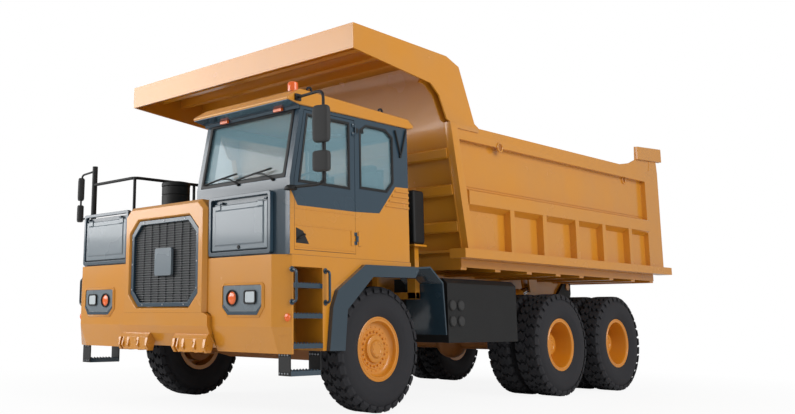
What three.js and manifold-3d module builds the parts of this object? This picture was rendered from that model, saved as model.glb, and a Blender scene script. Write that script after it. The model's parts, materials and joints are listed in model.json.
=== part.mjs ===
// A rigid three-axle mining dump truck with an offset cab, a canopied dump bed and twin rear wheels.
// Millimetres, +Z up. The truck faces -Y and its left side is +X. Lengths along the truck are measured
// back from the front axle, and the group at the end moves the origin to the middle of the footprint.
import * as THREE from 'three';
import { mergeVertices } from 'three/addons/utils/BufferGeometryUtils.js';
import Module from 'manifold-3d';

const wasm = await Module();
wasm.setup();

// ---------------------------------------------------------------- driving dimensions
const FIT = 0.3; // between pieces that are bolted or seated on each other
const RUN = 6; // between pieces that move past each other
const SHEET = 20; // pressed and welded sheet

// axles and wheels
const MIDDLE_AXLE = 3748; // front axle to middle axle
const TANDEM = 1640; // middle axle to rear axle
const REAR_AXLE = MIDDLE_AXLE + TANDEM;
const TYRE_RADIUS = 685;
const TYRE_WIDTH = 375;
const TREAD_WIDTH = 292;
const SHOULDER_WIDTH = 352;
const SHOULDER_DROP = 45; // from the tread down to the shoulder
const BULGE_DROP = 175; // from the tread down to the widest part of the sidewall
const BEAD_LIFT = 2; // sidewall above the rim flange
const RIM_WIDTH = 290;
const BEAD_RADIUS = 317.5;
const FLANGE_HEIGHT = 34;
const FLANGE_THICKNESS = 12;
const WHEEL_SIDES = 16;
const FRONT_WHEEL_X = 1544;
const OUTER_WHEEL_X = 1644;
const TWIN_GAP = 50; // between the sidewalls of a twin pair
const TWIN_SPACING = TYRE_WIDTH + TWIN_GAP;
const SPINDLE_RADIUS = 62;
const KINGPIN_X = 1250;
const RIM_WALL = 18;
const FRONT_HUB = {
  domeRadius: 95, domeSetback: 10, radius: 150, rise: 35, disc: 60, discRadius: 250, discThickness: 30,
  backRadius: 170, back: -20, boreEnd: 90,
};
const TWIN_HUB = { domeRadius: 130, setback: 10, radius: 175, bevel: 35, disc: 25, cap: 80 };

// frame
const RAIL_OUTSIDE = 490;
const RAIL_WIDTH = 90;
const RAIL_BOTTOM = 880;
const RAIL_TOP = 1330;
const RAIL_FRONT = -1499;
const RAIL_REAR = 6200;

// nose and body sides
const BODY_HALF = 1886;
const NOSE_FACE = -1680;
const CORNER_X = 1724;
const CORNER_Y = -1551;
const NOSE_BOTTOM = 690;
const CAB_BOTTOM = 1638;
const DECK_TOP = 2240;
const BODY_REAR = 350;
const HOOD_FACE = -1735;
const HOOD_HALF = 745;
const HOOD_BOTTOM = 1065;
const HOOD_TOP = 2290;
const GRILLE_HALF = 620;
const GRILLE_BOTTOM = 1130;
const GRILLE_TOP = 2120;
const GRILLE_CHAMFER = 150;
const LUG_FRONT = -1760;
const HATCH_THICKNESS = 26;

// cab
const CAB_RIGHT = 420;
const CAB_FRONT = -1585;
const CAB_REAR = 329;
const CAB_TOP = 3177;
const CAB_WALL = 45;
const WAIST = 2404;
const PILLAR_TOP_Y = -1428;
const DOOR_HINGE_Y = -590;
const HINGE_RADIUS = 10;
const GLASS = 8;

// wheel arch
const ARCH_FRONT = -1060;
const ARCH_INSIDE = 1340;
const ARCH_OUTSIDE = 1935;

// side ladder recess
const LADDER_FRONT = -1534;
const LADDER_REAR = -1114;
const LADDER_DEPTH = 386;
const LADDER_TOP = 1520;
const TREADS = [742, 1035, 1335];
const STEP_LOW = 455;
const RECESS_WALL = 12;
const TREAD_HALF = 12; // half a tread's thickness

// dump bed
const BED_HALF = 1890; // inside of the side walls
const WALL = 15;
const RAIL_SIDE = 1976;
const BED_FLOOR = 1850;
const BED_RAIL = 3364;
const BED_REAR = 6724;
const LEDGE_SIDE = 2033;
const LEDGE_BOTTOM = 1739;
const LEDGE_REAR = 6880;
const CANOPY_FRONT = -755;
const CANOPY_TOP = 4188;
const CANOPY_LIP = 287;
const CANOPY_SIDE = 1992;
const CANOPY_FLARE = 39;
const TIP_Y = 6300;
const TIP_Z = 1560;
const TIP_RADIUS = 55;
const GATE_HINGE_Y = 6590;
const GATE_HINGE_Z = 3600;

// hoist
const HOIST_X = 780;
const HOIST_FOOT = { y: 3000, z: 900 };
const HOIST_EYE = { y: 4700, z: 1500 };
const BARREL_RADIUS = 90;
const BARREL_LENGTH = 1480;
const ROD_RADIUS = 55;
const EYE_RADIUS = 65;
const EYE_HALF = 35;
const FOOT_PIN = 45;

const CENTRE_Y = (LUG_FRONT + LEDGE_REAR) / 2;

// ---------------------------------------------------------------- paints
const paint = (color, roughness, metalness = 0) => (
  new THREE.MeshStandardMaterial({ color, roughness, metalness }));
const yellow = paint('#d99a2b', 0.4);
const blueGrey = paint('#33424e', 0.4);
const black = paint('#1b1e21', 0.6);
const orange = paint('#c97a1c', 0.45);
const rubber = paint('#26282a', 0.9);
const glass = paint('#8fb4c4', 0.1);
const fabric = paint('#3a3d40', 0.9);
const steel = paint('#9aa0a4', 0.3, 0.9);

// ---------------------------------------------------------------- shapes
/** A geometry as a solid that can be joined and cut. */
function solidOf(geometry) {
  const bare = geometry.clone();
  bare.deleteAttribute('normal');
  bare.deleteAttribute('uv');
  const merged = mergeVertices(bare, 1e-4);
  const mesh = new wasm.Mesh({
    numProp: 3,
    vertProperties: Float32Array.from(merged.attributes.position.array),
    triVerts: Uint32Array.from(merged.index.array),
  });
  return new wasm.Manifold(mesh);
}

/** A solid as a flat-shaded geometry. */
function geometryOf(solid) {
  const mesh = solid.getMesh();
  const indexed = new THREE.BufferGeometry();
  indexed.setAttribute('position', new THREE.BufferAttribute(mesh.vertProperties, 3));
  indexed.setIndex(new THREE.BufferAttribute(mesh.triVerts, 1));
  const flat = indexed.toNonIndexed();
  flat.computeVertexNormals();
  return flat;
}

/** Pieces welded into one. */
function join(...pieces) {
  return geometryOf(pieces.flat().map(solidOf).reduce((whole, piece) => whole.add(piece)));
}

/** A piece with others taken out of it. */
function cut(piece, ...tools) {
  return geometryOf(tools.flat().map(solidOf).reduce((rest, tool) => rest.subtract(tool), solidOf(piece)));
}

/** A box between two values on each axis. */
function box(x0, x1, y0, y1, z0, z1) {
  const geometry = new THREE.BoxGeometry(x1 - x0, y1 - y0, z1 - z0);
  return geometry.translate((x0 + x1) / 2, (y0 + y1) / 2, (z0 + z1) / 2);
}

/** A flat outline carried along an axis. Its points are (y, z), (x, z) or (x, y), as the axis leaves them. */
function slab(axis, from, to, outline) {
  const points = axis === 'y' ? outline.map(([x, z]) => [z, x]) : outline;
  const shape = new THREE.Shape(points.map(([a, b]) => new THREE.Vector2(a, b)));
  const geometry = new THREE.ExtrudeGeometry(shape, { depth: to - from, bevelEnabled: false });
  geometry.translate(0, 0, from);
  const axes = {
    x: [[0, 1, 0], [0, 0, 1], [1, 0, 0]],
    y: [[0, 0, 1], [1, 0, 0], [0, 1, 0]],
    z: [[1, 0, 0], [0, 1, 0], [0, 0, 1]],
  }[axis].map((v) => new THREE.Vector3(...v));
  return geometry.applyMatrix4(new THREE.Matrix4().makeBasis(...axes));
}

/** A round bar from one point to another. */
function bar(from, to, radius, sides = 12) {
  const start = new THREE.Vector3(...from);
  const along = new THREE.Vector3(...to).sub(start);
  const geometry = new THREE.CylinderGeometry(radius, radius, along.length(), sides);
  geometry.translate(0, along.length() / 2, 0);
  const up = new THREE.Vector3(0, 1, 0);
  const turn = new THREE.Quaternion().setFromUnitVectors(up, along.clone().normalize());
  return geometry.applyQuaternion(turn).translate(...from);
}

const BEND_SWELL = 1.02; // ball at a bend over its tube, so that the joint is closed

/** A bent tube through points, with a ball at each bend. */
function pipe(points, radius) {
  const bars = points.slice(1).map((point, i) => bar(points[i], point, radius, 8));
  const balls = points.slice(1, -1).map((point) => (
    new THREE.IcosahedronGeometry(BEND_SWELL * radius, 0).translate(...point)));
  return join(bars, balls);
}

/** A profile of [radius, x] points turned about the X axis, with a flat side downwards. */
function turned(profile, sides = WHEEL_SIDES) {
  const points = profile.map(([radius, x]) => new THREE.Vector2(radius, x));
  const geometry = new THREE.LatheGeometry(points, sides, Math.PI / sides);
  geometry.rotateZ(-Math.PI / 2);
  const solid = solidOf(geometry);
  return solid.volume() > 0 ? geometryOf(solid) : geometryOf(solidOf(flipped(geometry)));
}

/** The same surface with its faces pointing the other way. */
function flipped(geometry) {
  const copy = geometry.index ? geometry.toNonIndexed() : geometry.clone();
  const position = copy.attributes.position;
  const a = new THREE.Vector3();
  const b = new THREE.Vector3();
  for (let i = 0; i < position.count; i += 3) {
    a.fromBufferAttribute(position, i);
    b.fromBufferAttribute(position, i + 1);
    position.setXYZ(i, b.x, b.y, b.z);
    position.setXYZ(i + 1, a.x, a.y, a.z);
  }
  copy.computeVertexNormals();
  return copy;
}

/** A left-hand piece as its right-hand twin. */
const mirrored = (geometry) => flipped(geometry.clone().scale(-1, 1, 1));

/** Both hands of a piece. */
const bothSides = (geometry) => [geometry, mirrored(geometry)];

/** An outline that turns only one way, drawn in by a distance, or out by a negative one. */
function inset(outline, distance) {
  const points = outline.map(([a, b]) => new THREE.Vector2(a, b));
  const way = THREE.ShapeUtils.area(points) > 0 ? 1 : -1;
  const lines = points.map((point, i) => {
    const along = points[(i + 1) % points.length].clone().sub(point).normalize();
    const inward = new THREE.Vector2(-along.y, along.x).multiplyScalar(way * distance);
    return { start: point.clone().add(inward), along };
  });
  return lines.map((line, i) => {
    const before = lines[(i + lines.length - 1) % lines.length];
    const cross = before.along.cross(line.along);
    const reach = line.start.clone().sub(before.start).cross(line.along) / cross;
    const corner = before.start.clone().addScaledVector(before.along, reach);
    return [corner.x, corner.y];
  });
}

/** An open line given a thickness, to its left as it runs. */
function band(line, thickness) {
  const points = line.map(([a, b]) => new THREE.Vector2(a, b));
  const sides = points.slice(1).map((point, i) => {
    const along = point.clone().sub(points[i]).normalize();
    return new THREE.Vector2(-along.y, along.x);
  });
  const offset = points.map((point, i) => {
    const before = sides[Math.max(i - 1, 0)];
    const after = sides[Math.min(i, sides.length - 1)];
    const middle = before.clone().add(after).normalize();
    return point.clone().addScaledVector(middle, thickness / middle.dot(after)).toArray();
  });
  return [...line, ...offset.reverse()];
}

const truck = new THREE.Group();

/** Adds a named piece to the truck. */
function add(name, geometry, material) {
  const mesh = new THREE.Mesh(geometry, material);
  mesh.name = name;
  truck.add(mesh);
}

/** Adds a left-hand piece and its right-hand twin. */
function addPair(stem, geometry, material) {
  add(`${stem}_left`, geometry, material);
  add(`${stem}_right`, mirrored(geometry), material);
}

// ---------------------------------------------------------------- wheels
const flatDown = 1 / Math.cos(Math.PI / WHEEL_SIDES); // corner radius of a wheel outline over its flat radius
const rimHalf = RIM_WIDTH / 2;
const flangeRadius = BEAD_RADIUS + FLANGE_HEIGHT;
const hubBore = (SPINDLE_RADIUS + FIT) * flatDown;

/** A tyre as a closed ring that sits on the rim between its flanges. */
function tyre() {
  const half = TYRE_WIDTH / 2;
  const seat = rimHalf - FLANGE_THICKNESS - FIT;
  const tread = TYRE_RADIUS * flatDown;
  const right = [
    [BEAD_RADIUS + FIT, seat],
    [flangeRadius + BEAD_LIFT, seat],
    [TYRE_RADIUS - BULGE_DROP, half],
    [TYRE_RADIUS - SHOULDER_DROP, SHOULDER_WIDTH / 2],
    [tread, TREAD_WIDTH / 2],
  ];
  const left = right.map(([radius, x]) => [radius, -x]).reverse();
  const ring = [...right, ...left];
  return turned([...ring, ring[0]]);
}

/** The outside of a rim from its outboard flange to its inboard one, as [radius, x] points. */
function barrel(centre) {
  const inner = rimHalf - FLANGE_THICKNESS;
  return [
    [flangeRadius, centre + rimHalf],
    [flangeRadius, centre + inner],
    [BEAD_RADIUS, centre + inner],
    [BEAD_RADIUS, centre - inner],
    [flangeRadius, centre - inner],
    [flangeRadius, centre - rimHalf],
  ];
}

const rimInside = BEAD_RADIUS - RIM_WALL;

/** A front rim with a shallow disc, a domed hub and a blind bore for the spindle. */
function frontRim() {
  const hub = FRONT_HUB;
  const dome = rimHalf - hub.domeSetback;
  const back = hub.disc - hub.discThickness;
  const profile = [
    [0, dome],
    [hub.domeRadius, dome],
    [hub.radius, hub.disc + hub.rise],
    [hub.radius, hub.disc],
    [hub.discRadius, hub.disc],
    [rimInside, rimHalf],
    ...barrel(0),
    [rimInside, -rimHalf],
    [rimInside, back],
    [hub.backRadius, back],
    [hub.backRadius, hub.back],
    [hubBore, hub.back],
    [hubBore, hub.boreEnd],
    [0, hub.boreEnd],
  ];
  return turned(profile);
}

const twinHalf = TWIN_SPACING / 2;
const twinHubEnd = twinHalf - TWIN_HUB.setback;
const twinBoreEnd = twinHubEnd - TWIN_HUB.cap;

/** A twin rim: two barrels on a spacer ring, with a deep disc and a planetary hub in the outer one. */
function twinRim() {
  const hub = TWIN_HUB;
  const profile = [
    [0, twinHubEnd],
    [hub.domeRadius, twinHubEnd],
    [hub.radius, twinHubEnd - hub.bevel],
    [hub.radius, hub.disc],
    [rimInside, hub.disc],
    [rimInside, twinHalf + rimHalf],
    ...barrel(twinHalf).slice(0, -1),
    ...barrel(-twinHalf).slice(1),
    [rimInside, -twinHalf - rimHalf],
    [rimInside, -hub.disc],
    [hubBore, -hub.disc],
    [hubBore, twinBoreEnd],
    [0, twinBoreEnd],
  ];
  return turned(profile);
}

/** Places a wheel piece that is modelled about its own axle, on the left or the right. */
function addWheelPiece(name, geometry, x, y, material) {
  const hand = x > 0 ? geometry : mirrored(geometry);
  add(name, hand.clone().translate(x, y, TYRE_RADIUS), material);
}

const tyreRing = tyre();
const shallowRim = frontRim();
const deepRim = twinRim();
for (const [side, way] of [['left', 1], ['right', -1]]) {
  addWheelPiece(`front_tyre_${side}`, tyreRing, way * FRONT_WHEEL_X, 0, rubber);
  addWheelPiece(`front_rim_${side}`, shallowRim, way * FRONT_WHEEL_X, 0, orange);
  for (const [axle, y] of [['middle', MIDDLE_AXLE], ['rear', REAR_AXLE]]) {
    addWheelPiece(`${axle}_outer_tyre_${side}`, tyreRing, way * OUTER_WHEEL_X, y, rubber);
    addWheelPiece(`${axle}_inner_tyre_${side}`, tyreRing, way * (OUTER_WHEEL_X - TWIN_SPACING), y, rubber);
    addWheelPiece(`${axle}_rim_${side}`, deepRim, way * (OUTER_WHEEL_X - twinHalf), y, orange);
  }
}

// ---------------------------------------------------------------- front axle and steering
const EYE_LOW = TYRE_RADIUS - 95;
const EYE_HIGH = TYRE_RADIUS + 95;
const ARM_Y = 330; // tie-rod end behind the kingpin
const ARM_IN = 70; // tie-rod end inboard of the kingpin
const ARM_LOW = 650;
const ARM_THICKNESS = 40;
const ARM = { root: 60, rootEnd: 120, heel: 50, half: 40 };
const TIE_ROD = { radius: 28, drop: 14, socket: 32, socketDrop: 35 };
const railMiddle = RAIL_OUTSIDE - RAIL_WIDTH / 2;
const BEAM = { half: 80, kneeX: 700, low: 530, high: 690, endRise: 10, endDrop: 40 };
const EYE_OUTSIDE = 80;
const LEAF = { reach: 780, tip: 30, middle: 130, shoulder: 95, shoulderAt: 351, crown: 45, crownEnd: 585 };
const SPRING_SEAT = { half: 60, reach: 110, low: 680, sink: 15 };
const CHEEK_IN = 70; // knuckle cheek inboard of the kingpin
const CHEEK_HALF = 75;
const KNUCKLE = { fork: 50, gap: 0.5, half: 90, drumRadius: 235, drumIn: 10, drumOut: 85, spindleEnd: 80 };
const cheekSwing = Math.hypot(CHEEK_IN, CHEEK_HALF) + RUN; // room that a turning cheek needs round the kingpin

/** Both front spring packs and the beam between the kingpins that they sit on. */
function frontAxle() {
  const endLow = EYE_LOW + BEAM.endRise;
  const endHigh = EYE_HIGH - BEAM.endDrop;
  const level = KINGPIN_X - cheekSwing;
  const beam = slab('y', -BEAM.half, BEAM.half, [
    [-KINGPIN_X, endLow], [-level, endLow], [-BEAM.kneeX, BEAM.low], [BEAM.kneeX, BEAM.low], [level, endLow],
    [KINGPIN_X, endLow], [KINGPIN_X, endHigh], [BEAM.kneeX, BEAM.high], [-BEAM.kneeX, BEAM.high],
    [-KINGPIN_X, endHigh],
  ]);
  const eye = bar([KINGPIN_X, 0, EYE_LOW], [KINGPIN_X, 0, EYE_HIGH], EYE_OUTSIDE, 16);
  const top = RAIL_BOTTOM - FIT;
  const springs = slab('x', RAIL_OUTSIDE - RAIL_WIDTH, RAIL_OUTSIDE, [
    [-LEAF.reach, top - LEAF.tip], [-LEAF.shoulderAt, top - LEAF.shoulder], [0, top - LEAF.middle],
    [LEAF.shoulderAt, top - LEAF.shoulder], [LEAF.reach, top - LEAF.tip], [LEAF.reach, top],
    [LEAF.crownEnd, top], [0, top - LEAF.crown], [-LEAF.crownEnd, top], [-LEAF.reach, top],
  ]);
  const seat = box(
    railMiddle - SPRING_SEAT.half, railMiddle + SPRING_SEAT.half, -SPRING_SEAT.reach, SPRING_SEAT.reach,
    SPRING_SEAT.low, top - LEAF.crown - SPRING_SEAT.sink,
  );
  return join(beam, bothSides(eye), bothSides(springs), bothSides(seat));
}

/** A steering knuckle: a fork over the kingpin eye, a spindle, a brake drum and an arm to the tie rod. */
function knuckle() {
  const { fork, gap, half } = KNUCKLE;
  const back = KINGPIN_X + EYE_OUTSIDE + RUN;
  const flange = FRONT_WHEEL_X - rimHalf;
  const inboard = KINGPIN_X - CHEEK_IN;
  const forkBlock = box(back, flange, -half, half, EYE_LOW - fork, EYE_HIGH + fork);
  const upper = box(inboard, flange, -CHEEK_HALF, CHEEK_HALF, EYE_HIGH + gap, EYE_HIGH + fork);
  const lower = box(inboard, flange, -CHEEK_HALF, CHEEK_HALF, EYE_LOW - fork, EYE_LOW - gap);
  const spindleEnd = FRONT_WHEEL_X + KNUCKLE.spindleEnd;
  const spindle = bar([back, 0, TYRE_RADIUS], [spindleEnd, 0, TYRE_RADIUS], SPINDLE_RADIUS, 16);
  const drumFrom = [flange - KNUCKLE.drumIn, 0, TYRE_RADIUS];
  const drum = bar(drumFrom, [flange + KNUCKLE.drumOut, 0, TYRE_RADIUS], KNUCKLE.drumRadius, 20);
  const end = KINGPIN_X - ARM_IN;
  const arm = slab('z', ARM_LOW, ARM_LOW + ARM_THICKNESS, [
    [back, ARM.root], [flange, ARM.root], [flange, ARM.rootEnd], [end + ARM.heel, ARM_Y + ARM.half],
    [end - ARM.half, ARM_Y + ARM.half], [end - ARM.half, ARM_Y - ARM.half],
  ]);
  return join(forkBlock, upper, lower, spindle, drum, arm);
}

/** The tie rod under the two steering arms. */
function tieRod() {
  const end = KINGPIN_X - ARM_IN;
  const z = ARM_LOW - FIT - TIE_ROD.radius - TIE_ROD.drop;
  const tube = bar([-end, ARM_Y, z], [end, ARM_Y, z], TIE_ROD.radius, 10);
  const socketFrom = [end, ARM_Y, z - TIE_ROD.socketDrop];
  const socket = bar(socketFrom, [end, ARM_Y, ARM_LOW - FIT], TIE_ROD.socket, 12);
  return join(tube, bothSides(socket));
}

add('front_axle', frontAxle(), orange);
addPair('knuckle', knuckle(), orange);
add('tie_rod', tieRod(), orange);

// ---------------------------------------------------------------- rear bogie
const BOGIE_X = 600;
const BOGIE_LEAF = 100;
const SEAT_TOP = 830;
const HOUSING_RADIUS = 95;
const BOWL = { radius: 250, narrow: 0.95, rise: 10 };
const DRUM = { radius: 220, in: 40, out: 70 };
const AXLE_SEAT = { half: 70, reach: 90 };
const BOGIE = {
  leafEnd: 110, leafTip: 40, leafHump: 45, humpEnd: 60, saddle: 250, waist: 220, waistRise: 30, low: 640,
  tube: 70, tubeZ: 680, tubePast: 90, hangerHalf: 30, hangerFoot: 90, hangerHead: 230,
};
const PINION = { radius: 80, reach: 330, rise: 80 };
const twinInside = OUTER_WHEEL_X - TWIN_SPACING - rimHalf;
const twinSpindleEnd = OUTER_WHEEL_X - twinHalf + twinBoreEnd - FIT;

/** A driven axle: a tube with a bowl in the middle, spring seats and a spindle at each end. */
function drivenAxle(y) {
  const z = TYRE_RADIUS;
  const housing = bar([-twinInside, y, z], [twinInside, y, z], HOUSING_RADIUS, 16);
  const bowl = new THREE.SphereGeometry(BOWL.radius, 14, 8)
    .scale(BOWL.narrow, 1, 1)
    .translate(0, y, z + BOWL.rise);
  const pinionZ = z + PINION.rise;
  const nose = bar([0, y, pinionZ], [0, y - PINION.reach, pinionZ], PINION.radius, 12);
  const spindle = bar([-twinSpindleEnd, y, z], [twinSpindleEnd, y, z], SPINDLE_RADIUS, 16);
  const drum = bar([twinInside - DRUM.in, y, z], [twinInside + DRUM.out, y, z], DRUM.radius, 16);
  const seat = box(
    BOGIE_X - AXLE_SEAT.half, BOGIE_X + AXLE_SEAT.half, y - AXLE_SEAT.reach, y + AXLE_SEAT.reach, z, SEAT_TOP,
  );
  return join(housing, bowl, nose, spindle, bothSides(drum), bothSides(seat));
}

/** The inverted leaf packs on each side and the trunnion tube that joins them under the frame. */
function bogieSprings() {
  const middle = (MIDDLE_AXLE + REAR_AXLE) / 2;
  const half = TANDEM / 2;
  const low = SEAT_TOP + FIT;
  const { leafEnd, leafTip, leafHump, humpEnd, saddle, waist, waistRise } = BOGIE;
  const rearHalf = [
    [saddle, BOGIE.low], [half - leafEnd, low], [half + leafEnd, low], [half + leafEnd, low + leafTip],
    [half - humpEnd, low + leafHump], [waist, low + waistRise],
  ];
  const frontHalf = rearHalf.map(([reach, z]) => [-reach, z]).reverse();
  const outline = [...rearHalf, ...frontHalf].map(([reach, z]) => [middle + reach, z]);
  const pack = slab('x', BOGIE_X - BOGIE_LEAF / 2, BOGIE_X + BOGIE_LEAF / 2, outline);
  const tubeEnd = BOGIE_X + BOGIE.tubePast;
  const tube = bar([-tubeEnd, middle, BOGIE.tubeZ], [tubeEnd, middle, BOGIE.tubeZ], BOGIE.tube, 16);
  const bracket = slab('x', railMiddle - BOGIE.hangerHalf, railMiddle + BOGIE.hangerHalf, [
    [middle - BOGIE.hangerFoot, BOGIE.low], [middle + BOGIE.hangerFoot, BOGIE.low],
    [middle + BOGIE.hangerHead, RAIL_BOTTOM - FIT], [middle - BOGIE.hangerHead, RAIL_BOTTOM - FIT],
  ]);
  return join(bothSides(pack), tube, bothSides(bracket));
}

add('middle_axle', drivenAxle(MIDDLE_AXLE), orange);
add('rear_axle', drivenAxle(REAR_AXLE), orange);
add('bogie_springs', bogieSprings(), orange);

// ---------------------------------------------------------------- frame, engine and drive line
const ENGINE = { half: 370, front: -1250, rear: 240, bottom: 1100, top: 1950 };
const GEARBOX = { half: 250, rear: 1300, bottom: 930, top: 1480, shaftZ: 1010 };
const SHAFT_RADIUS = 60;
const STAGE = { half: 1320, low: 1545, high: CAB_BOTTOM - FIT, width: 120, front: -1480, rear: 262 };
const LOW_MEMBERS = { at: [-1400, -700, 60], width: 120, bottom: 930 };
const HIGH_MEMBERS = { at: [1900, 3000, 4500, 6050], half: 60, bottom: 1130, top: 1300 };
const FOOT_PAD = { in: 60, reach: 120, bottom: 820 };
const PIN_PAST_EYE = 60;
const TIP_BORE_GAP = 1.5;
const TAIL = {
  plate: 45, front: 420, low: 1000, knee: 60, rear: 110, rearLow: 1450, cheek: 60, crown: 110, crownHalf: 50,
};
const CLOSING_PLATE = { thick: 40, low: 1010, high: 1310 };
const COUPLING = { length: 60, front: 90, rear: 80, overlap: 20 };

/** The ladder frame: rails and cross-members, with a pad below each rail for the hoist's foot pin. */
function chassisFrame() {
  const railInside = RAIL_OUTSIDE - RAIL_WIDTH;
  const rail = box(railInside, RAIL_OUTSIDE, RAIL_FRONT, RAIL_REAR, RAIL_BOTTOM, RAIL_TOP);
  const reach = railInside + 1;
  const low = LOW_MEMBERS.at.map((y) => (
    box(-reach, reach, y, y + LOW_MEMBERS.width, LOW_MEMBERS.bottom, ENGINE.bottom - FIT)));
  const high = HIGH_MEMBERS.at.map((y) => (
    box(-reach, reach, y - HIGH_MEMBERS.half, y + HIGH_MEMBERS.half, HIGH_MEMBERS.bottom, HIGH_MEMBERS.top)));
  const { y: footY } = HOIST_FOOT;
  const pad = box(
    RAIL_OUTSIDE - FOOT_PAD.in, RAIL_OUTSIDE, footY - FOOT_PAD.reach, footY + FOOT_PAD.reach,
    FOOT_PAD.bottom, RAIL_BOTTOM + 1,
  );
  return join(bothSides(rail), low, high, bothSides(pad));
}

/** The tipping bracket: a bored plate outside each rail's tail, joined by a plate across their ends. */
function tipBracket() {
  const front = TIP_Y - TAIL.front;
  const face = RAIL_OUTSIDE + FIT;
  const tail = slab('x', face, face + TAIL.plate, [
    [front, TAIL.low], [TIP_Y - TAIL.knee, TAIL.low], [TIP_Y + TAIL.rear, TAIL.rearLow],
    [TIP_Y + TAIL.rear, TIP_Z + TAIL.cheek], [TIP_Y + TAIL.crownHalf, TIP_Z + TAIL.crown],
    [TIP_Y - TAIL.crownHalf, TIP_Z + TAIL.crown], [TIP_Y - TAIL.rear, TIP_Z + TAIL.cheek], [front, RAIL_TOP],
  ]);
  const { thick, low, high } = CLOSING_PLATE;
  const plate = box(-face - 1, face + 1, RAIL_REAR + FIT, RAIL_REAR + FIT + thick, low, high);
  return cut(join(bothSides(tail), plate), tipTube(TIP_RADIUS + TIP_BORE_GAP));
}

/** The stage for cab and deck: two beams across the truck on posts from the rails, joined by two sills. */
function cabStage() {
  const inside = RAIL_OUTSIDE - RAIL_WIDTH;
  const beams = [STAGE.front, STAGE.rear].map((y) => (
    box(-STAGE.half, STAGE.half, y, y + STAGE.width, STAGE.low, STAGE.high)));
  const posts = [STAGE.front, STAGE.rear].map((y) => (
    box(inside, RAIL_OUTSIDE, y, y + STAGE.width, RAIL_TOP + FIT, STAGE.low + 1)));
  const sill = box(inside, RAIL_OUTSIDE, STAGE.front + 1, STAGE.rear + 1, STAGE.low, STAGE.high);
  return join(beams, posts.flatMap(bothSides), bothSides(sill));
}

/** A round bar across the truck on the tipping axis. */
function tipTube(radius) {
  const end = RAIL_OUTSIDE + PIN_PAST_EYE;
  return bar([-end, TIP_Y, TIP_Z], [end, TIP_Y, TIP_Z], radius, 24);
}

/** The engine and gearbox as one plain block on the low cross-members. */
function engine() {
  const block = box(-ENGINE.half, ENGINE.half, ENGINE.front, ENGINE.rear, ENGINE.bottom, ENGINE.top);
  const gearbox = box(-GEARBOX.half, GEARBOX.half, ENGINE.rear - 1, GEARBOX.rear, GEARBOX.bottom, GEARBOX.top);
  return join(block, gearbox);
}

/** The propeller shaft from the gearbox to the middle axle, with a flange at each end. */
function driveShaft() {
  const from = [0, GEARBOX.rear + FIT, GEARBOX.shaftZ];
  const to = [0, MIDDLE_AXLE - PINION.reach - FIT, TYRE_RADIUS + PINION.rise];
  const { length, front, rear, overlap } = COUPLING;
  const frontDisc = bar(from, [0, from[1] + length, from[2]], front, 12);
  const rearDisc = bar([0, to[1] - length, to[2]], to, rear, 12);
  const shaft = bar([0, from[1] + overlap, from[2]], [0, to[1] - overlap, to[2]], SHAFT_RADIUS, 12);
  return join(shaft, frontDisc, rearDisc);
}

add('chassis_frame', chassisFrame(), black);
add('tip_bracket', tipBracket(), black);
add('cab_stage', cabStage(), black);
add('engine', engine(), black);
add('drive_shaft', driveShaft(), black);

// ---------------------------------------------------------------- nose
const BEAM_HALF = 1470;
const BUMPER_HALF = 805;
const cornerInside = BUMPER_HALF + RUN;
const panelBack = NOSE_FACE + 25;
const hoodBack = CAB_FRONT - FIT;
const BUMPER = { low: 840, knee: 1033, beamLow: 900, tieHalf: 740, tieHigh: 1050 };
const LUG = {
  x: 510, half: 280, plateLow: 790, plateRear: -1600, ears: [-260, -95, 95, 260], earHalf: 20, toe: 645,
  rear: -1660, high: 800, pin: 26, pinZ: 700, pinIn: 55, pinPast: 10,
};

/** The centre bumper panel, the cross-beam behind it and two towing brackets with their pins. */
function frontBumper() {
  const panel = slab('y', HOOD_FACE, panelBack, [
    [-BUMPER_HALF, BUMPER.low], [BUMPER_HALF, BUMPER.low], [BUMPER_HALF, BUMPER.knee],
    [HOOD_HALF - 5, HOOD_BOTTOM - FIT], [5 - HOOD_HALF, HOOD_BOTTOM - FIT], [-BUMPER_HALF, BUMPER.knee],
  ]);
  const beam = box(
    -BEAM_HALF, BEAM_HALF, panelBack + FIT, RAIL_FRONT - FIT, BUMPER.beamLow, HOOD_BOTTOM - FIT,
  );
  const tie = box(
    -BUMPER.tieHalf, BUMPER.tieHalf, panelBack - 5, panelBack + 5, BUMPER.beamLow, BUMPER.tieHigh,
  );
  const { x: lug, half, earHalf, pinPast, pinZ } = LUG;
  const plate = box(lug - half, lug + half, LUG_FRONT + 20, LUG.plateRear, LUG.plateLow, BUMPER.low + 1);
  const ears = LUG.ears.map((x) => slab('x', lug + x - earHalf, lug + x + earHalf, [
    [LUG_FRONT + 25, LUG.high], [LUG_FRONT, pinZ], [LUG_FRONT + 40, LUG.toe], [LUG.rear, LUG.toe],
    [LUG.rear + 50, LUG.high],
  ]));
  const pinY = LUG_FRONT + LUG.pinIn;
  const reach = half + pinPast;
  const pin = bar([lug - reach, pinY, pinZ], [lug + reach, pinY, pinZ], LUG.pin, 10);
  return join(panel, beam, tie, bothSides(join(plate, ears, pin)));
}

/** The arch line over the front wheel, from its foot up and back to its tail, as (y, z). */
const ARCH_TAIL = 1592;
const ARCH_LINE = [
  [ARCH_FRONT, NOSE_BOTTOM], [-1007, 1129], [-930, 1300], [-490, 1580], [358, ARCH_TAIL],
];
const ARCH_LAP = 20; // body side past the ladder recess

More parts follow.
